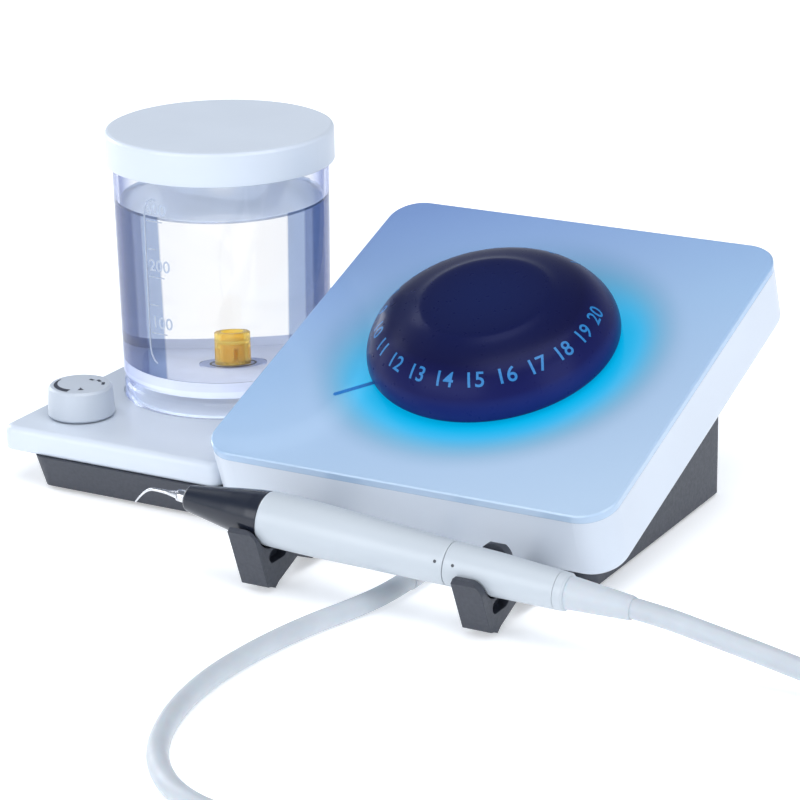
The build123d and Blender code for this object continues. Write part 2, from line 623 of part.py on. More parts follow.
# Filter cap: an open-topped cup with slots low in its wall, plugged into the outlet, and a mesh inside
FILTER_LOW = TANK_FLOOR_Z + 0.8
FILTER_R = 4.8
FILTER_H = 12.4
filter_cap = rod(FILTER_R, FILTER_LOW, FILTER_LOW + FILTER_H)
filter_cap -= ring(FILTER_R + 1, FILTER_R - 0.35, FILTER_LOW + FILTER_H - 4.4, FILTER_LOW + FILTER_H - 3.8)
filter_cap = chamfer(filter_cap.edges().group_by(Axis.Z)[-1], 0.4)
filter_cap -= rod(3.1, FILTER_LOW + FILTER_H - 3.2, FILTER_LOW + FILTER_H + 1)
filter_cap -= rod(3.3, FILTER_LOW - 1, FILTER_LOW + FILTER_H - 4.6)
filter_cap += ring(OUTLET_BORE_R - 0.05, 1.5, FILTER_LOW - 6, FILTER_LOW + 1)
filter_cap += ring(3.5, 1.5, FILTER_LOW, FILTER_LOW + 1)
for i in range(4):
    slot = Pos(4.2, 0, FILTER_LOW + 4.0) * Box(5, 1.3, 4.6)
    filter_cap -= Rot(0, 0, 90 * i + 45) * slot
filter_mesh = ring(3.2, 2.7, FILTER_LOW + 1.1, FILTER_LOW + FILTER_H - 4.8)
save("tank_filter", seat_place * filter_cap, seat_place * filter_mesh)

LID_LOW = LID_TOP_Z - LID_H
lid = turned(
    [
        (0, LID_TOP_Z),
        (LID_R - 1.3, LID_TOP_Z),
        (LID_R - 0.4, LID_TOP_Z - 0.4),
        (LID_R, LID_TOP_Z - 1.3),
        (LID_R, LID_LOW),
        (TANK_TOP_R + 0.4, LID_LOW),
        (TANK_TOP_R + 0.4, TANK_RIM_Z + 0.3),
        (0, TANK_RIM_Z + 0.3),
    ]
)
lid += ring(TANK_TOP_R - TANK_WALL - 1.6, TANK_TOP_R - TANK_WALL - 3.4, TANK_RIM_Z - 6, TANK_RIM_Z + 1)
save("tank_lid", tank_place * lid)
seal_r = TANK_TOP_R - TANK_WALL - 0.4
lid_seal = ring(seal_r, TANK_TOP_R - TANK_WALL - 1.6, TANK_RIM_Z - 4.2, TANK_RIM_Z - 1.6)
save("lid_seal", tank_place * lid_seal)

# ---------------------------------------------------------------- handpiece
BODY_BORE = 6.4
JOINT_R = 7.45


def along(profile):
    """A turned part of the handpiece, from points (length along the axis, radius)."""
    return handpiece_place * turned(profile, Axis.X)


def sleeve(start, end, outer, inner):
    return along([(start, inner), (end, inner), (end, outer), (start, outer)])


handpiece_shell = along(
    [
        (NOSE_BACK + 0.05, BODY_BORE),
        (-0.1, BODY_BORE),
        (-0.1, JOINT_R - 0.1),
        (-0.3, JOINT_R),
        (-25, 8.25),
        (-48, 9.0),
        (-60, 9.2),
        (NOSE_BACK + 0.6, 9.2),
        (NOSE_BACK + 0.05, 9.0),
    ]
)
save("handpiece_shell", handpiece_shell)
nose_cone = along(
    [
        (NOSE_FRONT, 3.0),
        (NOSE_FRONT, 4.1),
        (NOSE_FRONT + 0.6, 4.5),
        (-81.8, 7.4),
        (-73.6, 8.55),
        (NOSE_BACK - 0.3, 8.95),
        (NOSE_BACK - 0.05, 8.8),
        (NOSE_BACK - 0.05, 6.35),
        (NOSE_BACK + 6, 6.35),
        (NOSE_BACK + 6, 5.3),
        (-78, 5.3),
        (-92, 3.0),
    ]
)
save("nose_cone", nose_cone)
nose_light = sleeve(NOSE_FRONT + 0.1, NOSE_FRONT + 2.2, 2.95, 2.4)
save("nose_light", nose_light)

horn = along(
    [
        (NOSE_FRONT + 0.4, 0),
        (NOSE_FRONT + 0.4, 1.7),
        (-84, 2.1),
        (-76, 4.6),
        (-60, 4.8),
        (-60, 1.7),
        (-47.4, 1.7),
        (-47.4, 0),
    ]
)
save("ultrasonic_horn", horn)
piezo = [sleeve(-59.9 + 3.1 * i, -57.1 + 3.1 * i, 5.0, 1.9) for i in range(4)]
save("piezo_rings", *piezo)
counter_mass = along([(-47.3, 0), (-47.3, 4.8), (-34, 4.8), (-34, 0)])
save("counter_mass", counter_mass)
seals = [
    handpiece_place * Pos(at, 0, 0) * Rot(0, 90, 0) * Torus(5.6, 0.75) for at in (-61.6, -38.0)
]
save("handpiece_orings", *seals)

# Tip: collar and a thin hooked point
TIP_R = 0.62
collar = along(
    [
        (NOSE_FRONT - 5.0, 0),
        (NOSE_FRONT - 5.0, 1.4),
        (NOSE_FRONT - 4.6, 2.2),
        (NOSE_FRONT - 0.2, 2.2),
        (NOSE_FRONT - 0.2, 1.6),
        (NOSE_FRONT + 0.35, 1.6),
        (NOSE_FRONT + 0.35, 0),
    ]
)
tip_path = FilletPolyline(
    (NOSE_FRONT - 4.2, 0, 0),
    (NOSE_FRONT - 15.0, 0, 0.2),
    (NOSE_FRONT - 19.4, 0, -2.6),
    (NOSE_FRONT - 21.6, 0, -6.4),
    radius=4.0,
)
neck = along(
    [(NOSE_FRONT - 8.5, 0), (NOSE_FRONT - 8.5, 0.5), (NOSE_FRONT - 4.5, 1.25), (NOSE_FRONT - 4.5, 0)]
)
scaling_tip = collar + handpiece_place * tube_along(tip_path, TIP_R) + neck
save("scaling_tip", scaling_tip)

# Rear socket of the handpiece and the plug of the hose
PIN_AT = 3.0
PIN_COUNT = 6
SOCKET_FRONT = -24.0
SOCKET_BACK = -13.0


def pins(radius, start, end):
    """A circle of contact pins, parallel to the handpiece's axis."""
    pin = Pos(0, PIN_AT, 0) * Rot(0, 90, 0) * rod(radius, start, end)
    return [handpiece_place * Rot(360 / PIN_COUNT * i, 0, 0) * pin for i in range(PIN_COUNT)]


socket_r = BODY_BORE - 0.05
socket_block = along(
    [(SOCKET_FRONT, 0), (SOCKET_BACK, 0), (SOCKET_BACK, socket_r), (SOCKET_FRONT, socket_r)]
)
for hole in pins(0.6, SOCKET_BACK - 6.5, SOCKET_BACK + 1):
    socket_block -= hole
save("socket_block", socket_block)

PLUG_R = BODY_BORE - 0.6
plug = along(
    [
        (SOCKET_BACK + 0.5, 0),
        (34, 0),
        (34, 5.0),
        (0.1, 5.0),
        (0.1, PLUG_R),
        (-4.4, PLUG_R),
        (-4.4, PLUG_R - 0.9),
        (-6.0, PLUG_R - 0.9),
        (-6.0, PLUG_R),
        (SOCKET_BACK + 0.5, PLUG_R),
    ]
)
for pin in pins(0.5, SOCKET_BACK, SOCKET_BACK + 5):
    plug -= pin
save("hose_plug", plug, *pins(0.48, SOCKET_BACK - 5.5, SOCKET_BACK + 5))
plug_oring = handpiece_place * Pos(-5.2, 0, 0) * Rot(0, 90, 0) * Torus(PLUG_R - 0.15, 0.65)
save("plug_oring", plug_oring)
connector_sleeve = along(
    [
        (0.1, 5.0),
        (38.6, 5.0),
        (38.6, 6.35),
        (16, 7.25),
        (0.3, 7.42),
        (0.1, 7.3),
    ]
)
save("connector_sleeve", connector_sleeve)
connector_ring = along(
    [(38.7, 3.6), (SLEEVE_END, 3.6), (SLEEVE_END, 5.6), (41.4, 6.2), (38.7, 6.35)]
)
save("connector_ring", connector_ring)
strain_relief = along(
    [
        (34.1, 0),
        (34.1, 3.5),
        (SLEEVE_END + 0.05, 3.5),
        (SLEEVE_END + 0.05, 5.45),
        (RELIEF_END - 1.0, 4.0),
        (RELIEF_END, 3.7),
        (RELIEF_END, 0),
    ]
)
save("strain_relief", strain_relief)

# ---------------------------------------------------------------- holders
AXIS_Y = JOINT_POINT[1]
LIP_Y = AXIS_Y - 11.5
LIP_ROUND = 4.5
PRONG_BACK_Y = AXIS_Y + 12.0
PRONG_Z = 27.4
UNDER_CONSOLE_Z = 7.2
HOLDER_BOTTOM = 0.9


def holder(x, groove_r, axis_z, lip_z):
    """A hook-shaped fork: front lip, V-shaped foot, round-topped back prong, and an arm to a flange
    on the base."""
    flange_front = BASE_FRONT - 3.0
    outline = Polyline(
        (LIP_Y, lip_z),
        (LIP_Y + 7.7, HOLDER_BOTTOM + 1.7),
        (LIP_Y + 9.6, HOLDER_BOTTOM + 1.2),
        (LIP_Y + 12.2, HOLDER_BOTTOM),
        (LIP_Y + 14.4, HOLDER_BOTTOM + 1.6),
        (PRONG_BACK_Y + 3.0, 7.2),
        (PRONG_BACK_Y + 12.5, 3.0),
        (flange_front, 3.0),
        (flange_front, UNDER_CONSOLE_Z),
        (PRONG_BACK_Y + 15.0, UNDER_CONSOLE_Z),
        (PRONG_BACK_Y + 3.0, 14.0),
        (PRONG_BACK_Y, 19.0),
        (PRONG_BACK_Y - 0.8, PRONG_Z),
        (PRONG_BACK_Y - 3.4, PRONG_Z + 0.8),
        (PRONG_BACK_Y - 12.0, PRONG_Z + 0.8),
        (LIP_Y + 6.0, lip_z + 1.2),
        (LIP_Y + 1.4, lip_z + 1.2),
        close=True,
    )
    body = extrude(Plane.YZ.offset(x - HOLDER_W / 2) * make_face(outline), amount=HOLDER_W)
    # The lip's outer top corner and both of the prong's are rounded, seen from the front
    corner = Pos(x + HOLDER_W / 2 - LIP_ROUND, 0, lip_z + 1.2 - LIP_ROUND)
    lip_cut = block((0, LIP_ROUND + 1), (LIP_Y - 5, AXIS_Y - 4), (0, LIP_ROUND + 1))
    lip_cut -= Rot(90, 0, 0) * rod(LIP_ROUND, -200, 200)
    body -= corner * lip_cut
    prong_r = HOLDER_W / 2
    prong_cut = block((-prong_r - 1, prong_r + 1), (AXIS_Y + 4, PRONG_BACK_Y + 2), (0, prong_r + 1))
    prong_cut -= Rot(90, 0, 0) * rod(prong_r, -200, 200)
    body -= Pos(x, 0, PRONG_Z + 0.8 - prong_r) * prong_cut
    axis = handpiece_place * Rot(0, 90, 0) * rod(groove_r, -140, 60)
    throat = block((x - 20, x + 20), (AXIS_Y - groove_r, AXIS_Y + groove_r), (axis_z, 60))
    flange = block((x - 10.5, x + 10.5), (BASE_FRONT - 3.0, BASE_FRONT), (2.2, 8.4))
    fork = body - axis - throat + flange
    # Rounded pocket in the right-hand side, under the handpiece
    pocket_place = Pos(x + HOLDER_W / 2, AXIS_Y + 3.0, axis_z - groove_r - 3.4) * Rot(0, 90, 0)
    fork -= pocket_place * extrude(Rot(0, 0, 90) * SlotCenterToCenter(6.4, 2 * 2.4), amount=3.5, both=True)
    for side in (-1, 1):
        hole = Pos(x + side * HOLDER_SCREW_X, BASE_FRONT, HOLDER_FLANGE_Z) * Rot(90, 0, 0)
        fork -= hole * rod(1.25, -1, 2.2)
    return fork


def axis_height(x):
    return JOINT_POINT[2] - (x - JOINT_POINT[0]) * tan(radians(HANDPIECE_DROOP))


save("holder_left", holder(HOLDER_LEFT_X, 10.0, axis_height(HOLDER_LEFT_X), 23.4))
save("holder_right", holder(HOLDER_RIGHT_X, 7.9, axis_height(HOLDER_RIGHT_X), 20.6))
holder_screws = []
for x in (HOLDER_LEFT_X, HOLDER_RIGHT_X):
    for side in (-1, 1):
        inner_face = BASE_FRONT + WALL
        at = Pos(x + side * HOLDER_SCREW_X, inner_face, HOLDER_FLANGE_Z) * Rot(90, 0, 0)
        holder_screws.append(at * pan_screw(4.4, head_r=1.5, head_h=1.0, radius=1.2))
save("small_screws", *board_screws, *holder_screws)

# ---------------------------------------------------------------- hose and its gland
gland_length = BASE_FRONT - GLAND_END_Y
gland = turned(
    [
        (0, -WALL),
        (GLAND_NECK_R - 0.1, -WALL),
        (GLAND_NECK_R - 0.1, 0),
        (GLAND_R, 0),
        (GLAND_R, 3.0),
        (3.75, gland_length - 1.0),
        (3.5, gland_length),
        (0, gland_length),
    ]
)
save("hose_gland", Pos(GLAND_X, BASE_FRONT, GLAND_Z) * Rot(90, 0, 0) * gland)

REST_Z = HOSE_D / 2
COIL_X = 288.0
COIL_Y = -134.0
COIL_MID_R = 41.0
COIL_PITCH = 7.0
COIL_LAYERS = 2
coil_outer = COIL_MID_R + COIL_PITCH
relief_mouth = handpiece_place * Pos(RELIEF_END + GAP, 0, 0)
hose_lead_points = [
    tuple(relief_mouth.position),
    (159.5, -87.0, 18.1),
    (172.0, -87.3, 16.0),
    (187.0, -87.0, 13.2),
    (202.0, -86.4, 10.0),
    (218.0, -86.0, 6.6),
    (234.0, -86.0, 4.2),
    (252.0, -86.3, REST_Z),
    (270.0, -86.0, REST_Z),
    (COIL_X - 5, COIL_Y + coil_outer, REST_Z),
]
hose_run_points = [
    (COIL_X - 6, COIL_Y - coil_outer, REST_Z + COIL_PITCH),
    (264.0, -182.4, 9.0),
    (243.0, -185.5, 5.2),
    (220.0, -192.0, REST_Z),
    (192.0, -204.0, REST_Z),
    (163.0, -219.0, REST_Z),
    (135.0, -233.0, REST_Z),
    (107.0, -242.0, REST_Z),
    (80.0, -239.0, REST_Z),
    (58.0, -221.0, REST_Z),
    (45.0, -194.0, REST_Z),
    (40.0, -165.0, REST_Z),
    (41.5, -138.0, REST_Z),
    (46.0, -114.0, REST_Z),
    (52.5, -94.0, REST_Z),
    (57.2, -80.0, GLAND_Z - 0.4),
    (GLAND_X, GLAND_END_Y, GLAND_Z),
]


def corner_radii(points):
    """The arc at each corner: as large as 0.45 of the shorter run beside it allows."""
    spots = [Vector(*point) for point in points]
    radii = []
    for before, here, after in zip(spots, spots[1:], spots[2:]):
        turn = radians((here - before).get_angle(after - here))
        shorter = min((here - before).length, (after - here).length)
        radii.append(0.45 * shorter / tan(turn / 2))
    return radii


def hose(name, points):
    """A stretch of the hose: straight runs joined by tangent arcs."""
    radii = corner_radii(points)
    print(name, "arc radii:", [round(radius) for radius in radii])
    path = FilletPolyline(*points, radius=radii)
    tube = tube_along(path, HOSE_D / 2)
    share = tube.volume / (pi * HOSE_D**2 / 4 * path.length)
    print(name, "length:", round(path.length, 1), "volume against section:", round(share, 4))
    save(name, tube)
    return path.length


lead_length = hose("hose_lead", hose_lead_points)
run_length = hose("hose_run", hose_run_points)
coil_half = COIL_PITCH + HOSE_D / 2
coil_top = REST_Z * 2 + COIL_PITCH * (COIL_LAYERS - 1)
hose_coil = ring(COIL_MID_R + coil_half, COIL_MID_R - coil_half, 0, coil_top)
hose_coil = fillet(hose_coil.edges().filter_by(GeomType.CIRCLE), 2.5)
save("hose_coil", Pos(COIL_X, COIL_Y, 0) * hose_coil)
COIL_TURNS = 5.5
coil_length = COIL_TURNS * 2 * pi * COIL_MID_R
print("hose length:", round(lead_length + coil_length + run_length))
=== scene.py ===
import json
from math import cos, pi, radians, sin

import bmesh
import bpy
from mathutils import Matrix, Vector
from mathutils.bvhtree import BVHTree


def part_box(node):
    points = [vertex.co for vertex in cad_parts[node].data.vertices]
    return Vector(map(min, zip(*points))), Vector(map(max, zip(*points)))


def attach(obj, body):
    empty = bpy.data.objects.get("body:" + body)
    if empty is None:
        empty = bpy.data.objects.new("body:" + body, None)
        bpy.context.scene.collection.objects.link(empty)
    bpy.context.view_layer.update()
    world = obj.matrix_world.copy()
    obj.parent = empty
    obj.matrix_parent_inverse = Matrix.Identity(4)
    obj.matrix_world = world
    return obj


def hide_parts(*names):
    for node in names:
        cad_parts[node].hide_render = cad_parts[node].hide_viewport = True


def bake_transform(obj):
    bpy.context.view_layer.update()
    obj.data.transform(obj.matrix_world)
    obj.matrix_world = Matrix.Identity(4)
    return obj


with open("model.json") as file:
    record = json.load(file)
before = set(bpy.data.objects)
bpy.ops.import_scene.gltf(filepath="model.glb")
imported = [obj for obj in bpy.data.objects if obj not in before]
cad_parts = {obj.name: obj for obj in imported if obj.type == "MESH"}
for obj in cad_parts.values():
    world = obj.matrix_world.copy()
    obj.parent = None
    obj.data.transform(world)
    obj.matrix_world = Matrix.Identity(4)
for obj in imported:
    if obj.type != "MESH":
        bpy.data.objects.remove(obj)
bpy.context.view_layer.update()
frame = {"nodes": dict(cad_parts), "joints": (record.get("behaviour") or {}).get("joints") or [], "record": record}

MM = 0.001
nodes = frame["nodes"]
joints = {joint["name"]: joint for joint in frame["joints"]}


# ---------------------------------------------------------------- places taken from the frame
def centre(node):
    low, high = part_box(node)
    return (low + high) / 2


def joint_frame(name, across=(1, 0, 0)):
    """A matrix at a joint: z along its axis, x as near as it can be to the given direction."""
    axis = Vector(joints[name]["axis"]).normalized()
    side = (Vector(across) - axis * axis.dot(Vector(across))).normalized()
    turn = Matrix((side, axis.cross(side), axis)).transposed().to_4x4()
    return Matrix.Translation(joints[name]["pos_m"]) @ turn


dial_frame = joint_frame("dial_turn")
knob_axis = Vector(joints["knob_turn"]["pos_m"])
knob_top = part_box("flow_knob")[1].z
tank_axis = centre("tank_body")
outlet = centre("tank_filter")
handle_dir = Vector(joints["handpiece_unplug"]["axis"]).normalized()
plate_point = Vector(joints["dial_turn"]["pos_m"])

# The tank's inside, as it is in the parts
FLOOR_Z = 33 * MM
FLOOR_R = 34.0 * MM
WALL_LOW_Z = 36 * MM
WALL_R_LOW = 36.9 * MM
WALL_R_HIGH = 38.0 * MM
RIM_Z = 119 * MM
AXIS_GAP = 0.01 * MM


def on_handle(x):
    """The point of the handpiece's axis at a given x."""
    start = centre("connector_ring")
    return start + handle_dir * ((x - start.x) / handle_dir.x)


# ---------------------------------------------------------------- camera
CAMERA_AT = (0.5208, -0.8875, 0.3904)
CAMERA_AZIMUTH = 29.42
CAMERA_ELEVATION = 18.94
CAMERA_ROLL = -0.9
CAMERA_LENS = 137.8
CAMERA_SHIFT = (-0.0098, 0.0011)


def add_camera():
    azimuth = radians(CAMERA_AZIMUTH)
    elevation = radians(CAMERA_ELEVATION)
    back = Vector((sin(azimuth) * cos(elevation), -cos(azimuth) * cos(elevation), sin(elevation)))
    right = Vector((cos(azimuth), sin(azimuth), 0))
    turn = Matrix((right, back.cross(right), back)).transposed().to_4x4()
    data = bpy.data.cameras.new("camera")
    data.lens = CAMERA_LENS
    data.sensor_width = 36
    data.shift_x, data.shift_y = CAMERA_SHIFT
    data.clip_start = 0.02
    data.clip_end = 60
    camera = bpy.data.objects.new("camera", data)
    bpy.context.scene.collection.objects.link(camera)
    roll = Matrix.Rotation(radians(CAMERA_ROLL), 4, "Z")
    camera.matrix_world = Matrix.Translation(CAMERA_AT) @ turn @ roll
    bpy.context.scene.camera = camera


add_camera()


# ---------------------------------------------------------------- mesh helpers
SHARP_ANGLE = 35.0


def add_object(name, data, body=None):
    made = bpy.data.objects.new(name, data)
    bpy.context.scene.collection.objects.link(made)
    if body:
        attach(made, body)
    return made


def mesh_from(name, points, faces, body=None):
    """A mesh shaded smooth, except across its real edges."""
    mesh = bpy.data.meshes.new(name)
    mesh.from_pydata([tuple(point) for point in points], [], faces)
    mesh.update()
    for face in mesh.polygons:
        face.use_smooth = True
    mesh.set_sharp_from_angle(angle=radians(SHARP_ANGLE))
    return add_object(name, mesh, body)


def tube(name, path, radii, body=None, sides=24):
    """A closed round tube along a path of points, with a radius at each."""
    points = []
    faces = []
    side = Vector((0, 0, 1))
    for i, here in enumerate(path):
        along = (path[min(i + 1, len(path) - 1)] - path[max(i - 1, 0)]).normalized()
        side = (side - along * side.dot(along)).normalized()
        up = along.cross(side)
        for k in range(sides):
            angle = 2 * pi * k / sides
            points.append(here + (side * cos(angle) + up * sin(angle)) * radii[i])
    for i in range(len(path) - 1):
        for k in range(sides):
            a = i * sides + k
            b = i * sides + (k + 1) % sides
            faces.append((a, b, b + sides, a + sides))
    faces.append(tuple(reversed(range(sides))))
    last = (len(path) - 1) * sides
    faces.append(tuple(range(last, last + sides)))
    return mesh_from(name, points, faces, body)


def lathe(name, profile, place, body=None, sides=128):
    """A surface of revolution about z through place, from points (radius, height)."""
    points = []
    faces = []
    for radius, height in profile:
        for k in range(sides):
            angle = 2 * pi * k / sides
            points.append((place.x + radius * cos(angle), place.y + radius * sin(angle), height))
    for i in range(len(profile) - 1):
        for k in range(sides):
            a = i * sides + k
            b = i * sides + (k + 1) % sides
            faces.append((a, b, b + sides, a + sides))
    return mesh_from(name, points, faces, body)


def text_mesh(words, height):
    """The flat mesh of some figures, centred on the origin, cut fine enough to bend."""
    curve = bpy.data.curves.new("figures", "FONT")
    curve.body = words
    curve.size = height / 0.7
    curve.offset = height * 0.018
    curve.align_x = "CENTER"
    curve.align_y = "CENTER"
    curve.resolution_u = 4
    holder = bpy.data.objects.new("figures", curve)
    bpy.context.scene.collection.objects.link(holder)
    bpy.context.view_layer.update()
    graph = bpy.context.evaluated_depsgraph_get()
    mesh = bpy.data.meshes.new_from_object(holder.evaluated_get(graph))
    bpy.data.objects.remove(holder)
    bpy.data.curves.remove(curve)
    form = bmesh.new()
    form.from_mesh(mesh)
    step = height / 6
    for normal in ((1, 0, 0), (0, 1, 0)):
        for i in range(-14, 15):
            cut = Vector(normal) * i * step
            everything = form.verts[:] + form.edges[:] + form.faces[:]
            bmesh.ops.bisect_plane(form, geom=everything, plane_co=cut, plane_no=normal)
    form.to_mesh(mesh)
    form.free()
    return mesh


# ---------------------------------------------------------------- hose
HOSE_D = 6.8 * MM
REST = HOSE_D / 2
GLAND_EXIT = Vector((0.058, -0.069, 0.0049))
RELIEF_MOUTH = on_handle(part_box("strain_relief")[1].x - 0.8 * MM)
COIL_CENTRE = Vector((0.288, -0.134, 0))
COIL_WIDEST = 49.5 * MM
COIL_PITCH = 7.0 * MM
COIL_TURNS = 5.5
COIL_RISE = 6.8 * MM
POINTS_PER_TURN = 14

LEAD_POINTS = [
    tuple(RELIEF_MOUTH),
    (0.1595, -0.0870, 0.0181),
    (0.1720, -0.0873, 0.0160),
    (0.1870, -0.0870, 0.0132),
    (0.2020, -0.0864, 0.0100),
    (0.2180, -0.0860, 0.0066),
    (0.2340, -0.0860, 0.0042),
    (0.2520, -0.0863, REST),
    (0.2700, -0.0860, REST),
]
RUN_POINTS = [
    (0.2640, -0.1824, 0.0090),
    (0.2430, -0.1855, 0.0052),
    (0.2200, -0.1920, REST),
    (0.1920, -0.2040, REST),
    (0.1630, -0.2190, REST),
    (0.1350, -0.2330, REST),
    (0.1070, -0.2420, REST),
    (0.0800, -0.2390, REST),
    (0.0580, -0.2210, REST),
    (0.0450, -0.1940, REST),
    (0.0400, -0.1650, REST),
    (0.0415, -0.1380, REST),
    (0.0460, -0.1140, REST),
    (0.0525, -0.0940, REST),
    (0.0572, -0.0800, 0.0045),
    tuple(GLAND_EXIT),
]


def coil_points():
    """Two layers of turns: wound inwards on the floor, then outwards on top."""
    points = []
    steps = round(COIL_TURNS * POINTS_PER_TURN)
    reach = 1 / cos(pi / POINTS_PER_TURN)
    for i in range(steps + 1):
        turn = i / POINTS_PER_TURN
        inwards = COIL_TURNS / 2 - abs(turn - COIL_TURNS / 2)
        radius = (COIL_WIDEST - COIL_PITCH * inwards) * reach
        rise = min(max((turn - COIL_TURNS / 2 + 0.25) / 0.5, 0), 1)
        angle = pi / 2 - 2 * pi * turn
        height = REST + COIL_RISE * rise * rise * (3 - 2 * rise)
        x = COIL_CENTRE.x + radius * cos(angle)
        y = COIL_CENTRE.y + radius * sin(angle)
        points.append((x, y, height))
    return points


def add_hose():
    """The whole route is one smooth spline. Two tubes follow it: the lead, nearest the handpiece, and the rest."""
    route = LEAD_POINTS + coil_points() + RUN_POINTS
    curve = bpy.data.curves.new("hose_route", "CURVE")
    curve.dimensions = "3D"
    curve.resolution_u = 10
    spline = curve.splines.new("NURBS")
    spline.points.add(len(route) - 1)
    for point, place in zip(spline.points, route):
        point.co = (*place, 1)
    spline.order_u = 3
    spline.use_endpoint_u = True
    holder = add_object("hose_route", curve)
    bpy.context.view_layer.update()
    line = bpy.data.meshes.new_from_object(holder)
    path = [vertex.co.copy() for vertex in line.vertices]
    bpy.data.objects.remove(holder)
    bpy.data.curves.remove(curve)
    split = next(i for i, place in enumerate(path) if place.x > COIL_CENTRE.x - 5 * MM)
    lead_path = path[: split + 1]
    rest_path = list(reversed(path[split:]))
    lead = tube("hose_lead_tube", lead_path, [REST] * len(lead_path))
    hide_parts("hose_lead")
    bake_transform(lead)
    rest = tube("hose_tube", rest_path, [REST] * len(rest_path), "base")
    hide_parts("hose_run", "hose_coil")
    return lead, rest


hose_pieces = add_hose()


# ---------------------------------------------------------------- material helpers
def base_material(name, colour, roughness, metallic=0.0, **numbers):
    """A material around one shader; every fixed number sits on the shader's own socket."""
    made = bpy.data.materials.new(name)
    made.use_nodes = True
    shader = made.node_tree.nodes["Principled BSDF"]
    shader.inputs["Base Color"].default_value = (*colour, 1)
    shader.inputs["Roughness"].default_value = roughness
    shader.inputs["Metallic"].default_value = metallic
    for key, value in numbers.items():
        shader.inputs[key.replace("_", " ")].default_value = value
    return made


def shader_of(made):
    return made.node_tree.nodes["Principled BSDF"]


def glowing(made, colour, strength):
    shader_of(made).inputs["Emission Color"].default_value = (*colour, 1)
    shader_of(made).inputs["Emission Strength"].default_value = strength


def object_space(made):
    tree = made.node_tree
    found = tree.nodes.get("Texture Coordinate")
    return (found or tree.nodes.new("ShaderNodeTexCoord")).outputs["Object"]


def noise(made, scale, detail=3.0, stretch=None):
    tree = made.node_tree
    texture = tree.nodes.new("ShaderNodeTexNoise")
    texture.inputs["Scale"].default_value = scale
    texture.inputs["Detail"].default_value = detail
    space = object_space(made)
    if stretch:
        mapping = tree.nodes.new("ShaderNodeMapping")
        mapping.inputs["Scale"].default_value = stretch
        tree.links.new(space, mapping.inputs["Vector"])
        space = mapping.outputs["Vector"]
    tree.links.new(space, texture.inputs["Vector"])
    return texture.outputs["Fac"]


def calculate(made, operation, *operands):
    """A maths node over numbers and sockets."""
    node = made.node_tree.nodes.new("ShaderNodeMath")
    node.operation = operation
    for socket, value in zip(node.inputs, operands):
        if isinstance(value, (int, float)):
            socket.default_value = value
        else:
            made.node_tree.links.new(value, socket)
    return node.outputs["Value"]


def vector_node(made, operation, first, second=None):
    """A vector maths node over a socket and, where it takes one, a fixed vector."""
    node = made.node_tree.nodes.new("ShaderNodeVectorMath")
    node.operation = operation
    made.node_tree.links.new(first, node.inputs[0])
    if second is not None:
        node.inputs[1].default_value = second
    return node


def ramp(made, factor, stops):
    """A colour ramp through (position, colour) stops."""
    node = made.node_tree.nodes.new("ShaderNodeValToRGB")
    made.node_tree.links.new(factor, node.inputs["Fac"])
    band = node.color_ramp
    while len(band.elements) < len(stops):
        band.elements.new(0.5)
    for element, (position, colour) in zip(band.elements, stops):
        element.position = position
        element.color = (*colour, 1)
    return node.outputs["Color"]


def between(made, factor, low, high):
    """A number that runs from low to high as the factor goes through its middle range."""
    node = made.node_tree.nodes.new("ShaderNodeMapRange")
    node.inputs["From Min"].default_value = 0.3
    node.inputs["From Max"].default_value = 0.7
    node.inputs["To Min"].default_value = low
    node.inputs["To Max"].default_value = high
    made.node_tree.links.new(factor, node.inputs["Value"])
    return node.outputs["Result"]


def mottle(made, colour, other, scale, detail=4.0, stretch=None):
    """Base colour drifting between two near tones."""
    tone = ramp(made, noise(made, scale, detail, stretch), [(0.35, colour), (0.65, other)])
    made.node_tree.links.new(tone, shader_of(made).inputs["Base Color"])


def uneven_gloss(made, low, high, scale, stretch=None):
    spread = between(made, noise(made, scale, 5.0, stretch), low, high)
    made.node_tree.links.new(spread, shader_of(made).inputs["Roughness"])


def surface(made, scale, depth, edge=0.0, stretch=None, detail=4.0):
    """Fine relief, and edges rounded in shading by a given radius."""
    tree = made.node_tree
    bump = tree.nodes.new("ShaderNodeBump")
    bump.inputs["Strength"].default_value = 0.6
    bump.inputs["Distance"].default_value = depth
    tree.links.new(noise(made, scale, detail, stretch), bump.inputs["Height"])
    if edge:
        bevel = tree.nodes.new("ShaderNodeBevel")
        bevel.samples = 4
        bevel.inputs["Radius"].default_value = edge
        tree.links.new(bevel.outputs["Normal"], bump.inputs["Normal"])
    tree.links.new(bump.outputs["Normal"], shader_of(made).inputs["Normal"])


def tinted(colour, share):
    return tuple(value * share for value in colour)


# ---------------------------------------------------------------- materials
WHITE = (0.60, 0.655, 0.735)
BASE_GREY = (0.036, 0.041, 0.056)
PEN_WHITE = (0.50, 0.545, 0.59)
HOSE_WHITE = (0.50, 0.54, 0.585)

# The light round the dial: where it starts and ends, and its brightest side
GLOW_FROM = 43 * MM
GLOW_TO = 70 * MM
GLOW_ANGLE = -55.0
DOME_REACH = 48 * MM


def moulded(name, colour, roughness, texture_scale=3200, depth=0.006 * MM, edge=0.35 * MM):
    """Injection-moulded plastic: nearly even colour, satin gloss, the faintest orange peel."""
    made = base_material(name, colour, roughness, Coat_Weight=0.1, Coat_Roughness=0.25)
    mottle(made, colour, tinted(colour, 0.975), 30, 1.0)
    uneven_gloss(made, roughness * 0.92, roughness * 1.1, 60)
    surface(made, texture_scale, depth, edge)
    return made


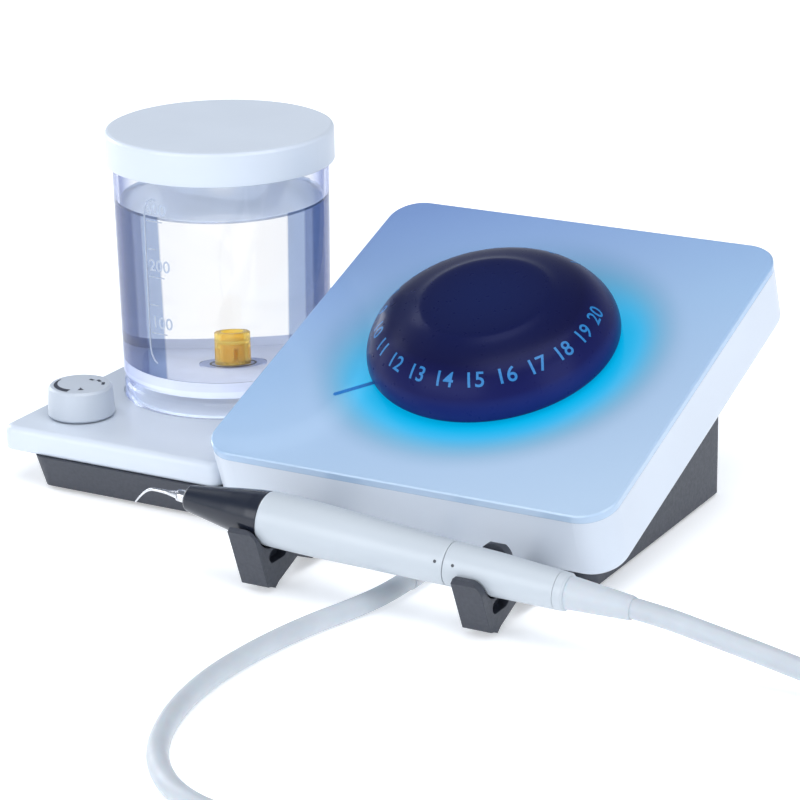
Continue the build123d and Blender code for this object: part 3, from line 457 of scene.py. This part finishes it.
def textured(name, colour, roughness):
    """Spark-eroded dark plastic, with a fine even grain."""
    made = base_material(name, colour, roughness)
    mottle(made, tinted(colour, 1.08), tinted(colour, 0.9), 900, 6)
    uneven_gloss(made, roughness * 0.9, min(1, roughness * 1.15), 700)
    surface(made, 3400, 0.06 * MM, 0.4 * MM)
    return made


def rubber(name, colour, roughness=0.7):
    made = base_material(name, colour, roughness, Sheen_Weight=0.15, Sheen_Roughness=0.5)
    mottle(made, colour, tinted(colour, 0.85), 260)
    uneven_gloss(made, roughness * 0.85, min(1, roughness * 1.2), 500)
    surface(made, 1800, 0.03 * MM, 0.25 * MM)
    return made


def turned_metal(name, colour, roughness, stretch=(1, 1, 30)):
    """Machined metal, with fine lines across its axis."""
    made = base_material(name, colour, roughness, metallic=1.0)
    mottle(made, colour, tinted(colour, 0.86), 90, 3, stretch)
    uneven_gloss(made, roughness * 0.7, roughness * 1.5, 120, stretch)
    surface(made, 240, 0.01 * MM, 0.1 * MM, stretch)
    return made


def polished_steel():
    colour = (0.72, 0.73, 0.76)
    made = base_material("polished_steel", colour, 0.22, metallic=1.0)
    mottle(made, colour, tinted(colour, 0.9), 500)
    uneven_gloss(made, 0.18, 0.28, 900)
    surface(made, 2200, 0.002 * MM)
    return made


def hose_material():
    """Soft silicone over the hose: satin, slightly cloudy, with handling marks."""
    made = base_material(
        "hose_silicone", HOSE_WHITE, 0.42, Subsurface_Weight=0.25, Subsurface_Scale=0.002,
        Sheen_Weight=0.2, Sheen_Roughness=0.4,
    )
    mottle(made, HOSE_WHITE, tinted(HOSE_WHITE, 0.93), 70)
    uneven_gloss(made, 0.34, 0.5, 300)
    surface(made, 1500, 0.02 * MM)
    return made


def let_light_through(made, share):
    """Shadow rays pass a clear part, so that what stands behind it is lit."""
    tree = made.node_tree
    path = tree.nodes.new("ShaderNodeLightPath")
    alpha = calculate(made, "MULTIPLY_ADD", path.outputs["Is Shadow Ray"], -share, 1.0)
    tree.links.new(alpha, shader_of(made).inputs["Alpha"])


def side_tone(made, stops):
    """Painted shade: a tint that deepens as the surface turns away, standing in for the dark studio surroundings
    seen refracted at a round part's sides.
    """
    facing = made.node_tree.nodes.new("ShaderNodeLayerWeight")
    facing.inputs["Blend"].default_value = 0.5
    tone = ramp(made, facing.outputs["Facing"], stops)
    made.node_tree.links.new(tone, shader_of(made).inputs["Base Color"])


def clear_wall():
    """Clear moulded plastic, with painted dark blue bands where it is seen edge on and a painted glow in the foot.
    """
    made = base_material(
        "clear_wall", (0.95, 0.97, 1.0), 0.015, Transmission_Weight=1.0, IOR=1.08,
        Coat_Weight=0.4, Coat_Roughness=0.03,
    )
    # painted shade: dark blue side bands in the base colour, set by how far the surface turns away
    edges = [
        (0.0, (0.98, 0.985, 0.995)),
        (0.45, (0.93, 0.95, 0.99)),
        (0.62, (0.55, 0.62, 0.86)),
        (0.8, (0.14, 0.19, 0.45)),
    ]
    side_tone(made, edges)
    place = made.node_tree.nodes.new("ShaderNodeSeparateXYZ")
    made.node_tree.links.new(object_space(made), place.inputs[0])
    # painted light: the wall below the tank's floor is brightened by a glow, though it is no lamp
    in_foot = calculate(made, "LESS_THAN", place.outputs["Z"], FLOOR_Z)
    glowing(made, (0.72, 0.80, 0.95), 0.0)
    painted_foot_glow = calculate(made, "MULTIPLY", in_foot, 0.11)
    made.node_tree.links.new(painted_foot_glow, shader_of(made).inputs["Emission Strength"])
    surface(made, 30, 0.03 * MM, detail=1.0)
    let_light_through(made, 0.95)
    return made


def water_material():
    """Still water: clear in the middle, with painted soft blue side bands standing in for the studio seen
    refracted through a full round jar.
    """
    made = base_material("water", (0.97, 0.985, 1.0), 0.0, Transmission_Weight=1.0, IOR=1.33)
    # painted shade: blue bands at the sides, set by how far the surface turns away
    painted_band_stops = [
        (0.0, (1.0, 1.0, 1.0)),
        (0.21, (0.99, 0.995, 1.0)),
        (0.222, (0.17, 0.25, 0.46)),
        (0.34, (0.16, 0.23, 0.43)),
        (0.36, (0.05, 0.08, 0.22)),
        (0.58, (0.06, 0.09, 0.22)),
        (0.64, (0.2, 0.25, 0.45)),
    ]
    side_tone(made, painted_band_stops)
    surface(made, 12, 0.02 * MM, detail=1.0)
    let_light_through(made, 0.98)
    return made


def water_top_material():
    """The water's surface, with a painted reflection of the lid's grey underside: a pale colour and a faint glow.
    """
    made = base_material("water_top", (0.82, 0.87, 0.95), 0.05, Transmission_Weight=0.45, IOR=1.33)
    # painted light: a glow that brightens the water's surface, though it is no lamp
    glowing(made, (0.7, 0.8, 0.95), 0.1)
    mottle(made, (0.82, 0.87, 0.95), (0.88, 0.92, 0.97), 25, 1.0)
    surface(made, 40, 0.05 * MM, detail=1.0)
    let_light_through(made, 0.98)
    return made


def frosted(name, colour):
    made = base_material(name, colour, 0.35, Transmission_Weight=0.8, IOR=1.45)
    mottle(made, colour, tinted(colour, 0.92), 300)
    surface(made, 900, 0.03 * MM)
    return made


def amber():
    colour = (1.0, 0.70, 0.10)
    made = base_material("amber_plastic", colour, 0.12, Transmission_Weight=0.75, IOR=1.25)
    # painted light: a faint orange glow, though the cap is no lamp
    glowing(made, (0.9, 0.42, 0.02), 0.03)
    mottle(made, colour, (1.0, 0.80, 0.2), 220)
    uneven_gloss(made, 0.08, 0.2, 300)
    surface(made, 700, 0.02 * MM, 0.2 * MM)
    return made


def from_dial(made):
    """The way from the dial's centre to the point that is shaded."""
    return vector_node(made, "SUBTRACT", object_space(made), plate_point).outputs["Vector"]


def plate_material():
    """The translucent blue plate, paler towards its front, with the dial's light glowing through it."""
    made = base_material("blue_plate", (0.45, 0.6, 0.8), 0.16, Coat_Weight=0.5, Coat_Roughness=0.08)
    tree = made.node_tree
    offset = from_dial(made)
    distance = vector_node(made, "LENGTH", offset).outputs["Value"]
    direction = vector_node(made, "NORMALIZE", offset).outputs["Vector"]
    front_right = Vector((cos(radians(GLOW_ANGLE)), sin(radians(GLOW_ANGLE)), 0))
    facing = vector_node(made, "DOT_PRODUCT", direction, dial_frame.to_3x3() @ front_right)
    downhill = dial_frame.to_3x3() @ Vector((0.5, -0.87, 0))
    slope = vector_node(made, "DOT_PRODUCT", offset, downhill)
    forward = calculate(made, "MULTIPLY_ADD", slope.outputs["Value"], 5.2, 0.5)
    tone = ramp(
        made, forward,
        [(0.0, (0.19, 0.30, 0.56)), (0.45, (0.31, 0.46, 0.67)), (1.0, (0.43, 0.56, 0.72))],
    )
    # Light from the ring below: strong at the dial's edge, gone after a few centimetres
    fade = tree.nodes.new("ShaderNodeMapRange")
    fade.interpolation_type = "SMOOTHERSTEP"
    fade.inputs["From Min"].default_value = GLOW_FROM
    fade.inputs["From Max"].default_value = GLOW_TO
    fade.inputs["To Min"].default_value = 1.0
    fade.inputs["To Max"].default_value = 0.0
    tree.links.new(distance, fade.inputs["Value"])
    sector = tree.nodes.new("ShaderNodeMapRange")
    sector.interpolation_type = "SMOOTHSTEP"
    sector.inputs["From Min"].default_value = -0.9
    sector.inputs["From Max"].default_value = 0.3
    sector.inputs["To Min"].default_value = 0.12
    sector.inputs["To Max"].default_value = 1.0
    tree.links.new(facing.outputs["Value"], sector.inputs["Value"])
    near = calculate(made, "POWER", fade.outputs["Result"], 1.4)
    light = calculate(made, "MULTIPLY", near, sector.outputs["Result"])
    glow = ramp(
        made, light,
        [(0.0, (0, 0, 0)), (0.3, (0.0, 0.12, 0.2)), (0.75, (0.0, 0.28, 0.52)), (1.0, (0.0, 0.32, 0.6))],
    )
    tree.links.new(glow, shader_of(made).inputs["Emission Color"])
    washed = tree.nodes.new("ShaderNodeMix")
    washed.data_type = "RGBA"
    washed.inputs["B"].default_value = (0.0, 0.16, 0.26, 1)
    tree.links.new(calculate(made, "POWER", light, 0.55), washed.inputs["Factor"])
    tree.links.new(tone, washed.inputs["A"])
    tree.links.new(washed.outputs["Result"], shader_of(made).inputs["Base Color"])
    shader_of(made).inputs["Emission Strength"].default_value = 1.0
    uneven_gloss(made, 0.12, 0.2, 45)
    surface(made, 1500, 0.008 * MM, 0.5 * MM)
    return made


def dome_material():
    """Deep blue satin dome, with painted shade on its shoulder and painted light from the ring's glow at its foot.
    """
    made = base_material(
        "dial_blue", (0.012, 0.018, 0.075), 0.26, IOR=1.25, Specular_Tint=(0.5, 0.56, 1.0, 1.0),
    )
    distance = vector_node(made, "LENGTH", from_dial(made)).outputs["Value"]
    reach = calculate(made, "DIVIDE", distance, DOME_REACH)
    # painted shade and light: darker on the shoulder, brighter blue at the foot where the ring's light falls
    tone = ramp(
        made, reach,
        [
            (0.42, (0.007, 0.013, 0.070)),
            (0.8, (0.006, 0.007, 0.042)),
            (0.92, (0.008, 0.010, 0.075)),
            (0.98, (0.012, 0.04, 0.24)),
        ],
    )
    made.node_tree.links.new(tone, shader_of(made).inputs["Base Color"])
    uneven_gloss(made, 0.27, 0.31, 400)
    surface(made, 900, 0.004 * MM)
    return made


def print_material(name, colour, glow=0.0):
    """Printed ink, slightly broken at its edges."""
    made = base_material(name, colour, 0.45)
    mottle(made, colour, tinted(colour, 0.85), 1500)
    surface(made, 4000, 0.01 * MM)
    glowing(made, colour, glow)
    return made


def board():
    """Coated circuit board with a faint weave and copper tracks under the green."""
    made = base_material("board_green", (0.02, 0.16, 0.06), 0.35, Coat_Weight=0.4)
    tree = made.node_tree
    tracks = tree.nodes.new("ShaderNodeTexBrick")
    tracks.inputs["Scale"].default_value = 260
    tracks.inputs["Color1"].default_value = (0.02, 0.15, 0.06, 1)
    tracks.inputs["Color2"].default_value = (0.015, 0.19, 0.07, 1)
    tracks.inputs["Mortar"].default_value = (0.05, 0.26, 0.1, 1)
    tree.links.new(object_space(made), tracks.inputs["Vector"])
    tree.links.new(tracks.outputs["Color"], shader_of(made).inputs["Base Color"])
    surface(made, 1200, 0.02 * MM)
    return made


PEN_NODES = ("handpiece_shell", "connector_sleeve", "connector_ring")
finishes = {
    "white_plastic": moulded("white_plastic", WHITE, 0.3),
    "pen_plastic": moulded("pen_plastic", PEN_WHITE, 0.34),
    "base_plastic": textured("base_plastic", BASE_GREY, 0.5),
    "blue_plate": plate_material(),
    "dial_plastic": dome_material(),
    "knob_plastic": moulded("knob_plastic", tinted(WHITE, 0.82), 0.36, 2400, 0.012 * MM),
    "carrier_plastic": textured("carrier_plastic", (0.05, 0.05, 0.06), 0.45),
    "socket_plastic": textured("socket_plastic", (0.012, 0.012, 0.015), 0.4),
    "clear_plastic": clear_wall(),
    "light_plastic": frosted("light_plastic", (0.8, 0.93, 1.0)),
    "amber_plastic": amber(),
    "cone_plastic": moulded("cone_plastic", (0.010, 0.014, 0.026), 0.24, 2800, 0.005 * MM),
    "hose_silicone": hose_material(),
    "tube_silicone": rubber("tube_silicone", (0.7, 0.7, 0.66), 0.4),
    "black_rubber": rubber("black_rubber", (0.012, 0.012, 0.013)),
    "tip_steel": polished_steel(),
    "shaft_steel": turned_metal("shaft_steel", (0.5, 0.51, 0.54), 0.3),
    "brass": turned_metal("brass", (0.75, 0.52, 0.22), 0.28),
    "ceramic": rubber("ceramic", (0.4, 0.33, 0.26), 0.6),
    "board_green": board(),
    "power_parts": turned_metal("power_parts", (0.6, 0.6, 0.62), 0.4, (30, 1, 1)),
}


def finish_nodes():
    """Every node takes the finish of its slot."""
    for part in frame["record"]["subparts"]:
        data = nodes[part["node"]].data
        finish = "pen_plastic" if part["node"] in PEN_NODES else part["material_slot"]
        data.materials.clear()
        data.materials.append(finishes[finish])


finish_nodes()
for piece in hose_pieces:
    piece.data.materials.append(finishes["hose_silicone"])


# ---------------------------------------------------------------- dial: printed figures and index line
NUMBER_PITCH = 16.25
NUMBER_AT_INDEX = 10.8
INDEX_ANGLE = -139.0
NUMBER_R = 39.0 * MM
NUMBER_H = 5.3 * MM
PRINT_LIFT = 0.06 * MM


def surface_tree(node):
    """A search tree over a node's mesh, in the row frame."""
    form = bmesh.new()
    form.from_mesh(nodes[node].data)
    tree = BVHTree.FromBMesh(form)
    form.free()
    return tree


def lay_on(mesh, place, tree):
    """Moves a flat mesh onto a surface near it, just proud of it."""
    for vertex in mesh.vertices:
        spot, normal, _, _ = tree.find_nearest(place @ vertex.co)
        vertex.co = spot + normal * PRINT_LIFT


def printed(name, meshes, body, made):
    form = bmesh.new()
    for mesh in meshes:
        form.from_mesh(mesh)
    whole = bpy.data.meshes.new(name)
    form.to_mesh(whole)
    form.free()
    whole.materials.append(made)
    piece = add_object(name, whole, body)
    return piece


def add_dial_figures():
    tree = surface_tree("dial_dome")
    down = -dial_frame.col[2].to_3d()
    meshes = []
    for value in range(1, 21):
        angle = radians(INDEX_ANGLE + (value - NUMBER_AT_INDEX) * NUMBER_PITCH)
        out = Vector((cos(angle), sin(angle), 0))
        start = dial_frame @ (out * NUMBER_R + Vector((0, 0, 60 * MM)))
        spot, normal, _, _ = tree.ray_cast(start, down)
        along = (dial_frame.to_3x3() @ Vector((-sin(angle), cos(angle), 0))).normalized()
        turn = Matrix((along, normal.cross(along), normal)).transposed().to_4x4()
        mesh = text_mesh(str(value), NUMBER_H)
        lay_on(mesh, Matrix.Translation(spot) @ turn, tree)
        meshes.append(mesh)
    # the printed figures also carry a painted glow, though they are no lamp
    ink = print_material("dial_ink", (0.006, 0.14, 0.38), 0.25)
    printed("dial_figures", meshes, "dial", ink)


def add_index_line():
    """A thin line inlaid in the plate, from the glow to the dial's edge."""
    angle = radians(INDEX_ANGLE)
    out = Vector((cos(angle), sin(angle), 0))
    side = Vector((-sin(angle), cos(angle), 0)) * 0.95 * MM
    corners = []
    for reach, half in ((44.0, 1.0), (58.6, 1.0), (59.1, 0.4)):
        for sign in (-1, 1):
            spot = out * reach * MM + side * sign * half + Vector((0, 0, PRINT_LIFT))
            corners.append(dial_frame @ spot)
    line = mesh_from("index_line", corners, [(0, 1, 3, 2), (2, 3, 5, 4)], "base")
    line.data.materials.append(print_material("index_ink", (0.01, 0.17, 0.52)))


add_dial_figures()
add_index_line()

# ---------------------------------------------------------------- tank: water and moulded scale
WATER_LEVEL = 95.8 * MM
WALL_THICKNESS = 2.0 * MM
SCALE_ANGLE = -102.0
OUTLET_SEAL_R = 6.0 * MM


def wall_radius(height):
    """Inner radius of the tank's wall at a height."""
    share = (height - WALL_LOW_Z) / (RIM_Z - WALL_LOW_Z)
    return WALL_R_LOW + (WALL_R_HIGH - WALL_R_LOW) * share


def add_water():
    """The water fills the tank to its top mark, with a meniscus at the wall."""
    seep = 0.06 * MM
    edge = wall_radius(WATER_LEVEL)
    profile = [
        (AXIS_GAP, FLOOR_Z - seep),
        (34.3 * MM + seep, FLOOR_Z - seep),
        (WALL_R_LOW + seep, WALL_LOW_Z),
        (edge + seep, WATER_LEVEL + 1.5 * MM),
        (edge - 0.3 * MM, WATER_LEVEL + 0.7 * MM),
        (edge - 1.2 * MM, WATER_LEVEL + 0.15 * MM),
        (edge - 3 * MM, WATER_LEVEL),
        (AXIS_GAP, WATER_LEVEL),
    ]
    water = lathe("water", profile, tank_axis, "tank")
    water.data.materials.append(water_material())
    water.data.materials.append(water_top_material())
    for face in water.data.polygons:
        if face.center.z > WATER_LEVEL - 0.1 * MM and face.normal.z > 0.2:
            face.material_index = 1


def on_tank(angle, height, lift=0.0):
    """A point on the tank's outside."""
    radius = wall_radius(height) + WALL_THICKNESS + lift
    a = radians(angle)
    return Vector((tank_axis.x + radius * cos(a), tank_axis.y + radius * sin(a), height))


def add_tank_scale():
    """Raised figures, ticks and a hooked line moulded on the outside of the wall."""
    tree = surface_tree("tank_body")
    meshes = []
    for words, angle, height in (("300", -94.5, 100.3), ("200", -93.5, 79.2), ("100", -93.5, 57.6)):
        spot = on_tank(angle, height * MM)
        out = (spot - Vector((tank_axis.x, tank_axis.y, spot.z))).normalized()
        along = Vector((-out.y, out.x, 0))
        turn = Matrix((along, Vector((0, 0, 1)), out)).transposed().to_4x4()
        mesh = text_mesh(words, 4.4 * MM)
        lay_on(mesh, Matrix.Translation(spot) @ turn, tree)
        meshes.append(mesh)
    raised = print_material("moulded_mark", (0.42, 0.48, 0.6))
    printed("tank_figures", meshes, "tank", raised)
    ticks = [(96.0, 10), (85.5, 5), (75.0, 10), (64.3, 5), (53.6, 10)]
    for i, (height, sweep) in enumerate(ticks):
        start = SCALE_ANGLE + 1.5
        path = [on_tank(start + sweep * k / 8, height * MM, 0.05 * MM) for k in range(9)]
        tick = tube(f"tank_tick_{i}", path, [0.22 * MM] * len(path), "tank", 8)
        tick.data.materials.append(raised)
    spine = [(-94.5, 104), (-97, 104.2), (-99.5, 103.2), (-101.2, 101), (SCALE_ANGLE, 98)]
    spine += [(SCALE_ANGLE - 0.05 * k, 98 - 5.0 * k) for k in range(1, 11)]
    spine += [(-101.8, 45.2), (-100, 43), (-98, 42)]
    path = [on_tank(angle, height * MM, 0.05 * MM) for angle, height in spine]
    line = tube("tank_scale_line", path, [0.3 * MM] * len(path), "tank", 8)
    line.data.materials.append(raised)


def add_tank_floor():
    """The satin moulded floor of the tank, under the water, and the satin band round its corner."""
    colour = (0.72, 0.76, 0.87)
    made = base_material("floor_satin", colour, 0.5, Transmission_Weight=0.25, IOR=1.2)
    # painted light: a glow that brightens the satin floor and band, though they are no lamp
    glowing(made, colour, 0.12)
    mottle(made, colour, tinted(colour, 0.9), 60, 2.0)
    surface(made, 900, 0.02 * MM)
    low = FLOOR_Z + 0.02 * MM
    top = FLOOR_Z + 0.2 * MM
    disc = [(AXIS_GAP, low), (FLOOR_R, low), (FLOOR_R, top), (AXIS_GAP, top)]
    inner = 37.25 * MM
    outer = 37.6 * MM
    foot = 30.2 * MM
    corner = [(inner, foot), (outer, foot), (outer, WALL_LOW_Z), (inner, WALL_LOW_Z), (inner, foot)]
    for name, profile in (("tank_floor_satin", disc), ("tank_corner_satin", corner)):
        piece = lathe(name, profile, tank_axis, "tank")
        piece.data.materials.append(made)


def add_outlet_ring():
    """The dark seal round the filter cap's foot."""
    middle = Vector((outlet.x, outlet.y, FLOOR_Z + 0.6 * MM))
    path = []
    for k in range(65):
        angle = 2 * pi * k / 64
        path.append(middle + Vector((cos(angle), sin(angle), 0)) * OUTLET_SEAL_R)
    ring = tube("outlet_seal", path, [0.3 * MM] * len(path), "tank", 10)
    ring.data.materials.append(finishes["black_rubber"])


add_water()
add_tank_floor()
add_tank_scale()
add_outlet_ring()


# ---------------------------------------------------------------- flow knob: printed marks
def band(name, angles, outer, widths, body, made, slot):
    """A flat printed arc on the knob's top: its outer radius is fixed and its width changes."""
    points = []
    for angle, width in zip(angles, widths):
        for reach in (outer - width, outer):
            a = radians(angle)
            height = knob_top + PRINT_LIFT
            points.append((knob_axis.x + reach * cos(a), knob_axis.y + reach * sin(a), height))
    faces = [(2 * i, 2 * i + 1, 2 * i + 3, 2 * i + 2) for i in range(len(angles) - 1)]
    arc = mesh_from(name, points, faces, body)
    arc.data.materials.append(made)


def add_knob_marks():
    """A tapering arc from less to more, a pointer mark and three short dashes."""
    ink = print_material("knob_ink", (0.02, 0.025, 0.045))
    steps = 28
    angles = [174 + 100 * i / steps for i in range(steps + 1)]
    widths = [(0.5 + 2.3 * i / steps) * MM for i in range(steps + 1)]
    band("knob_arc", angles, 9.7 * MM, widths, "knob", ink, "knob_plastic")
    for i, (middle, outer) in enumerate(((30, 9.0), (56, 8.0), (80, 6.6))):
        angles = [middle + 3.2 * (k - 3) for k in range(7)]
        band(f"knob_dash_{i}", angles, outer * MM, [1.2 * MM] * 7, "knob", ink, "knob_plastic")
    angles = [-54 + 4.5 * (k - 2) for k in range(5)]
    widths = [width * MM for width in (0.3, 1.4, 3.0, 1.4, 0.3)]
    band("knob_pointer", angles, 7.2 * MM, widths, "knob", ink, "knob_plastic")


add_knob_marks()


# ---------------------------------------------------------------- handpiece: tip and alignment dots
def add_tip():
    """The working tip: a stepped collar and a point that narrows and hooks down."""
    low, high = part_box("scaling_tip")
    front = on_handle(low.x)
    root = on_handle(high.x)
    across = Vector((0, 0, 1))
    up = (across - handle_dir * across.dot(handle_dir)).normalized()
    reach = (root - front).length
    profile = [
        (0.0, 1.6), (0.5, 1.6), (0.7, 2.1), (3.6, 2.1), (3.8, 1.8), (4.1, 1.8), (4.3, 2.05), (4.8, 1.95),
        (5.2, 1.4), (6.6, 1.15), (8.4, 0.85),
    ]
    path = []
    radii = []
    for along, radius in profile:
        path.append(root + handle_dir * along * MM)
        radii.append(radius * MM)
    bend = [(11.5, 0.0), (14.9, -0.2), (16.8, -0.9), (18.3, -2.0), (20.3, -4.1), (22.0, -6.3)]
    for along, height in bend:
        path.append(root + handle_dir * min(along * MM, reach) + up * height * MM)
    collar = len(profile)
    points = smooth_path(path[collar - 1 :], 6)
    thin = [(0.85 - 0.6 * (i / (len(points) - 1)) ** 0.6) * MM for i in range(len(points))]
    tip = tube("tip_shaped", path[: collar - 1] + points, radii[: collar - 1] + thin, "handpiece", 28)
    tip.data.materials.append(finishes["tip_steel"])
    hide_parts("scaling_tip")


def smooth_path(points, steps):
    """Points on a smooth curve through the given ones."""
    ends = [points[0] * 2 - points[1]] + points + [points[-1] * 2 - points[-2]]
    path = []
    for a, b, c, d in zip(ends, ends[1:], ends[2:], ends[3:]):
        for k in range(steps):
            t = k / steps
            square = (a * 2 - b * 5 + c * 4 - d) * t * t
            cube = (b * 3 - a - c * 3 + d) * t**3
            path.append((b * 2 + (c - a) * t + square + cube) / 2)
    path.append(points[-1])
    return path


def add_dot(name, node, x, angle, body):
    """A small alignment dot printed on a round part, at an angle from straight up towards the front."""
    spot = on_handle(x)
    up = Vector((0, 0, 1))
    up = (up - handle_dir * up.dot(handle_dir)).normalized()
    side = handle_dir.cross(up)
    if side.y > 0:
        side = -side
    out = up * cos(radians(angle)) + side * sin(radians(angle))
    tree = surface_tree(node)
    hit, normal, _, _ = tree.ray_cast(spot + out * 30 * MM, -out)
    across = handle_dir.cross(normal).normalized()
    turn = Matrix((handle_dir, across, handle_dir.cross(across))).transposed().to_4x4()
    form = bmesh.new()
    bmesh.ops.create_circle(form, cap_ends=True, segments=20, radius=0.55 * MM)
    mesh = bpy.data.meshes.new(name)
    form.to_mesh(mesh)
    form.free()
    lay_on(mesh, Matrix.Translation(hit) @ turn, tree)
    mesh.materials.append(print_material(name + "_ink", (0.05, 0.055, 0.07)))
    piece = add_object(name, mesh, body)


joint_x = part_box("handpiece_shell")[1].x
add_tip()
add_dot("dot_handle", "handpiece_shell", joint_x - 3.0 * MM, 70, "handpiece")
add_dot("dot_connector", "connector_sleeve", joint_x + 3.4 * MM, 70, "hose_end")


# ---------------------------------------------------------------- floor and light
def add_floor():
    size = 9.0
    corners = [(-size, -size, 0), (size, -size, 0), (size, size, 0), (-size, size, 0)]
    mesh = bpy.data.meshes.new("floor")
    mesh.from_pydata(corners, [], [(0, 1, 2, 3)])
    floor = add_object("floor", mesh)
    made = base_material("floor_white", (0.93, 0.94, 0.95), 0.7, Specular_IOR_Level=0.2)
    mottle(made, (0.93, 0.94, 0.95), (0.92, 0.93, 0.945), 4)
    surface(made, 60, 0.02 * MM)
    glowing(made, (1, 1, 1), 0.35)
    # Through the tank it shows as an even white, with no shadows
    tree = made.node_tree
    path = tree.nodes.new("ShaderNodeLightPath")
    even = tree.nodes.new("ShaderNodeEmission")
    even.inputs["Strength"].default_value = 1.05
    mix = tree.nodes.new("ShaderNodeMixShader")
    tree.links.new(path.outputs["Is Transmission Ray"], mix.inputs[0])
    tree.links.new(shader_of(made).outputs["BSDF"], mix.inputs[1])
    tree.links.new(even.outputs["Emission"], mix.inputs[2])
    tree.links.new(mix.outputs["Shader"], tree.nodes["Material Output"].inputs["Surface"])
    mesh.materials.append(made)


def area_light(name, place, target, size, power, colour):
    data = bpy.data.lights.new(name, "AREA")
    data.shape = "RECTANGLE"
    data.size, data.size_y = size
    data.energy = power
    data.color = colour
    light = add_object(name, data)
    light.location = place
    light.rotation_euler = (Vector(target) - Vector(place)).to_track_quat("-Z", "Y").to_euler()


def add_world():
    """A pale studio: bright towards the horizon, darker overhead."""
    world = bpy.data.worlds.new("studio")
    world.use_nodes = True
    tree = world.node_tree
    shade = tree.nodes["Background"]
    place = tree.nodes.new("ShaderNodeTexCoord")
    split = tree.nodes.new("ShaderNodeSeparateXYZ")
    tree.links.new(place.outputs["Generated"], split.inputs["Vector"])
    band = tree.nodes.new("ShaderNodeValToRGB")
    tree.links.new(split.outputs["Z"], band.inputs["Fac"])
    low, high = band.color_ramp.elements
    low.position = 0.15
    low.color = (0.62, 0.68, 0.76, 1)
    high.position = 0.75
    high.color = (0.16, 0.18, 0.22, 1)
    tree.links.new(band.outputs["Color"], shade.inputs["Color"])
    shade.inputs["Strength"].default_value = 1.0
    bpy.context.scene.world = world


def add_lights():
    middle = (0, 0, 0.05)
    area_light("key_front", (-0.7, -2.4, 1.0), middle, (2.6, 1.4), 31, (0.97, 0.985, 1.0))
    area_light("fill_right", (2.0, -0.5, 0.9), middle, (1.2, 1.4), 13, (0.94, 0.97, 1.0))
    area_light("top_soft", (0.6, -0.5, 2.2), (0.1, 0.2, 0), (2.0, 1.6), 32, (1.0, 1.0, 1.0))
    area_light("rim_left", (-1.8, 0.4, 0.8), middle, (0.8, 1.4), 15, (0.95, 0.98, 1.0))


add_floor()
add_world()
add_lights()
bpy.context.scene.view_settings.view_transform = "Standard"
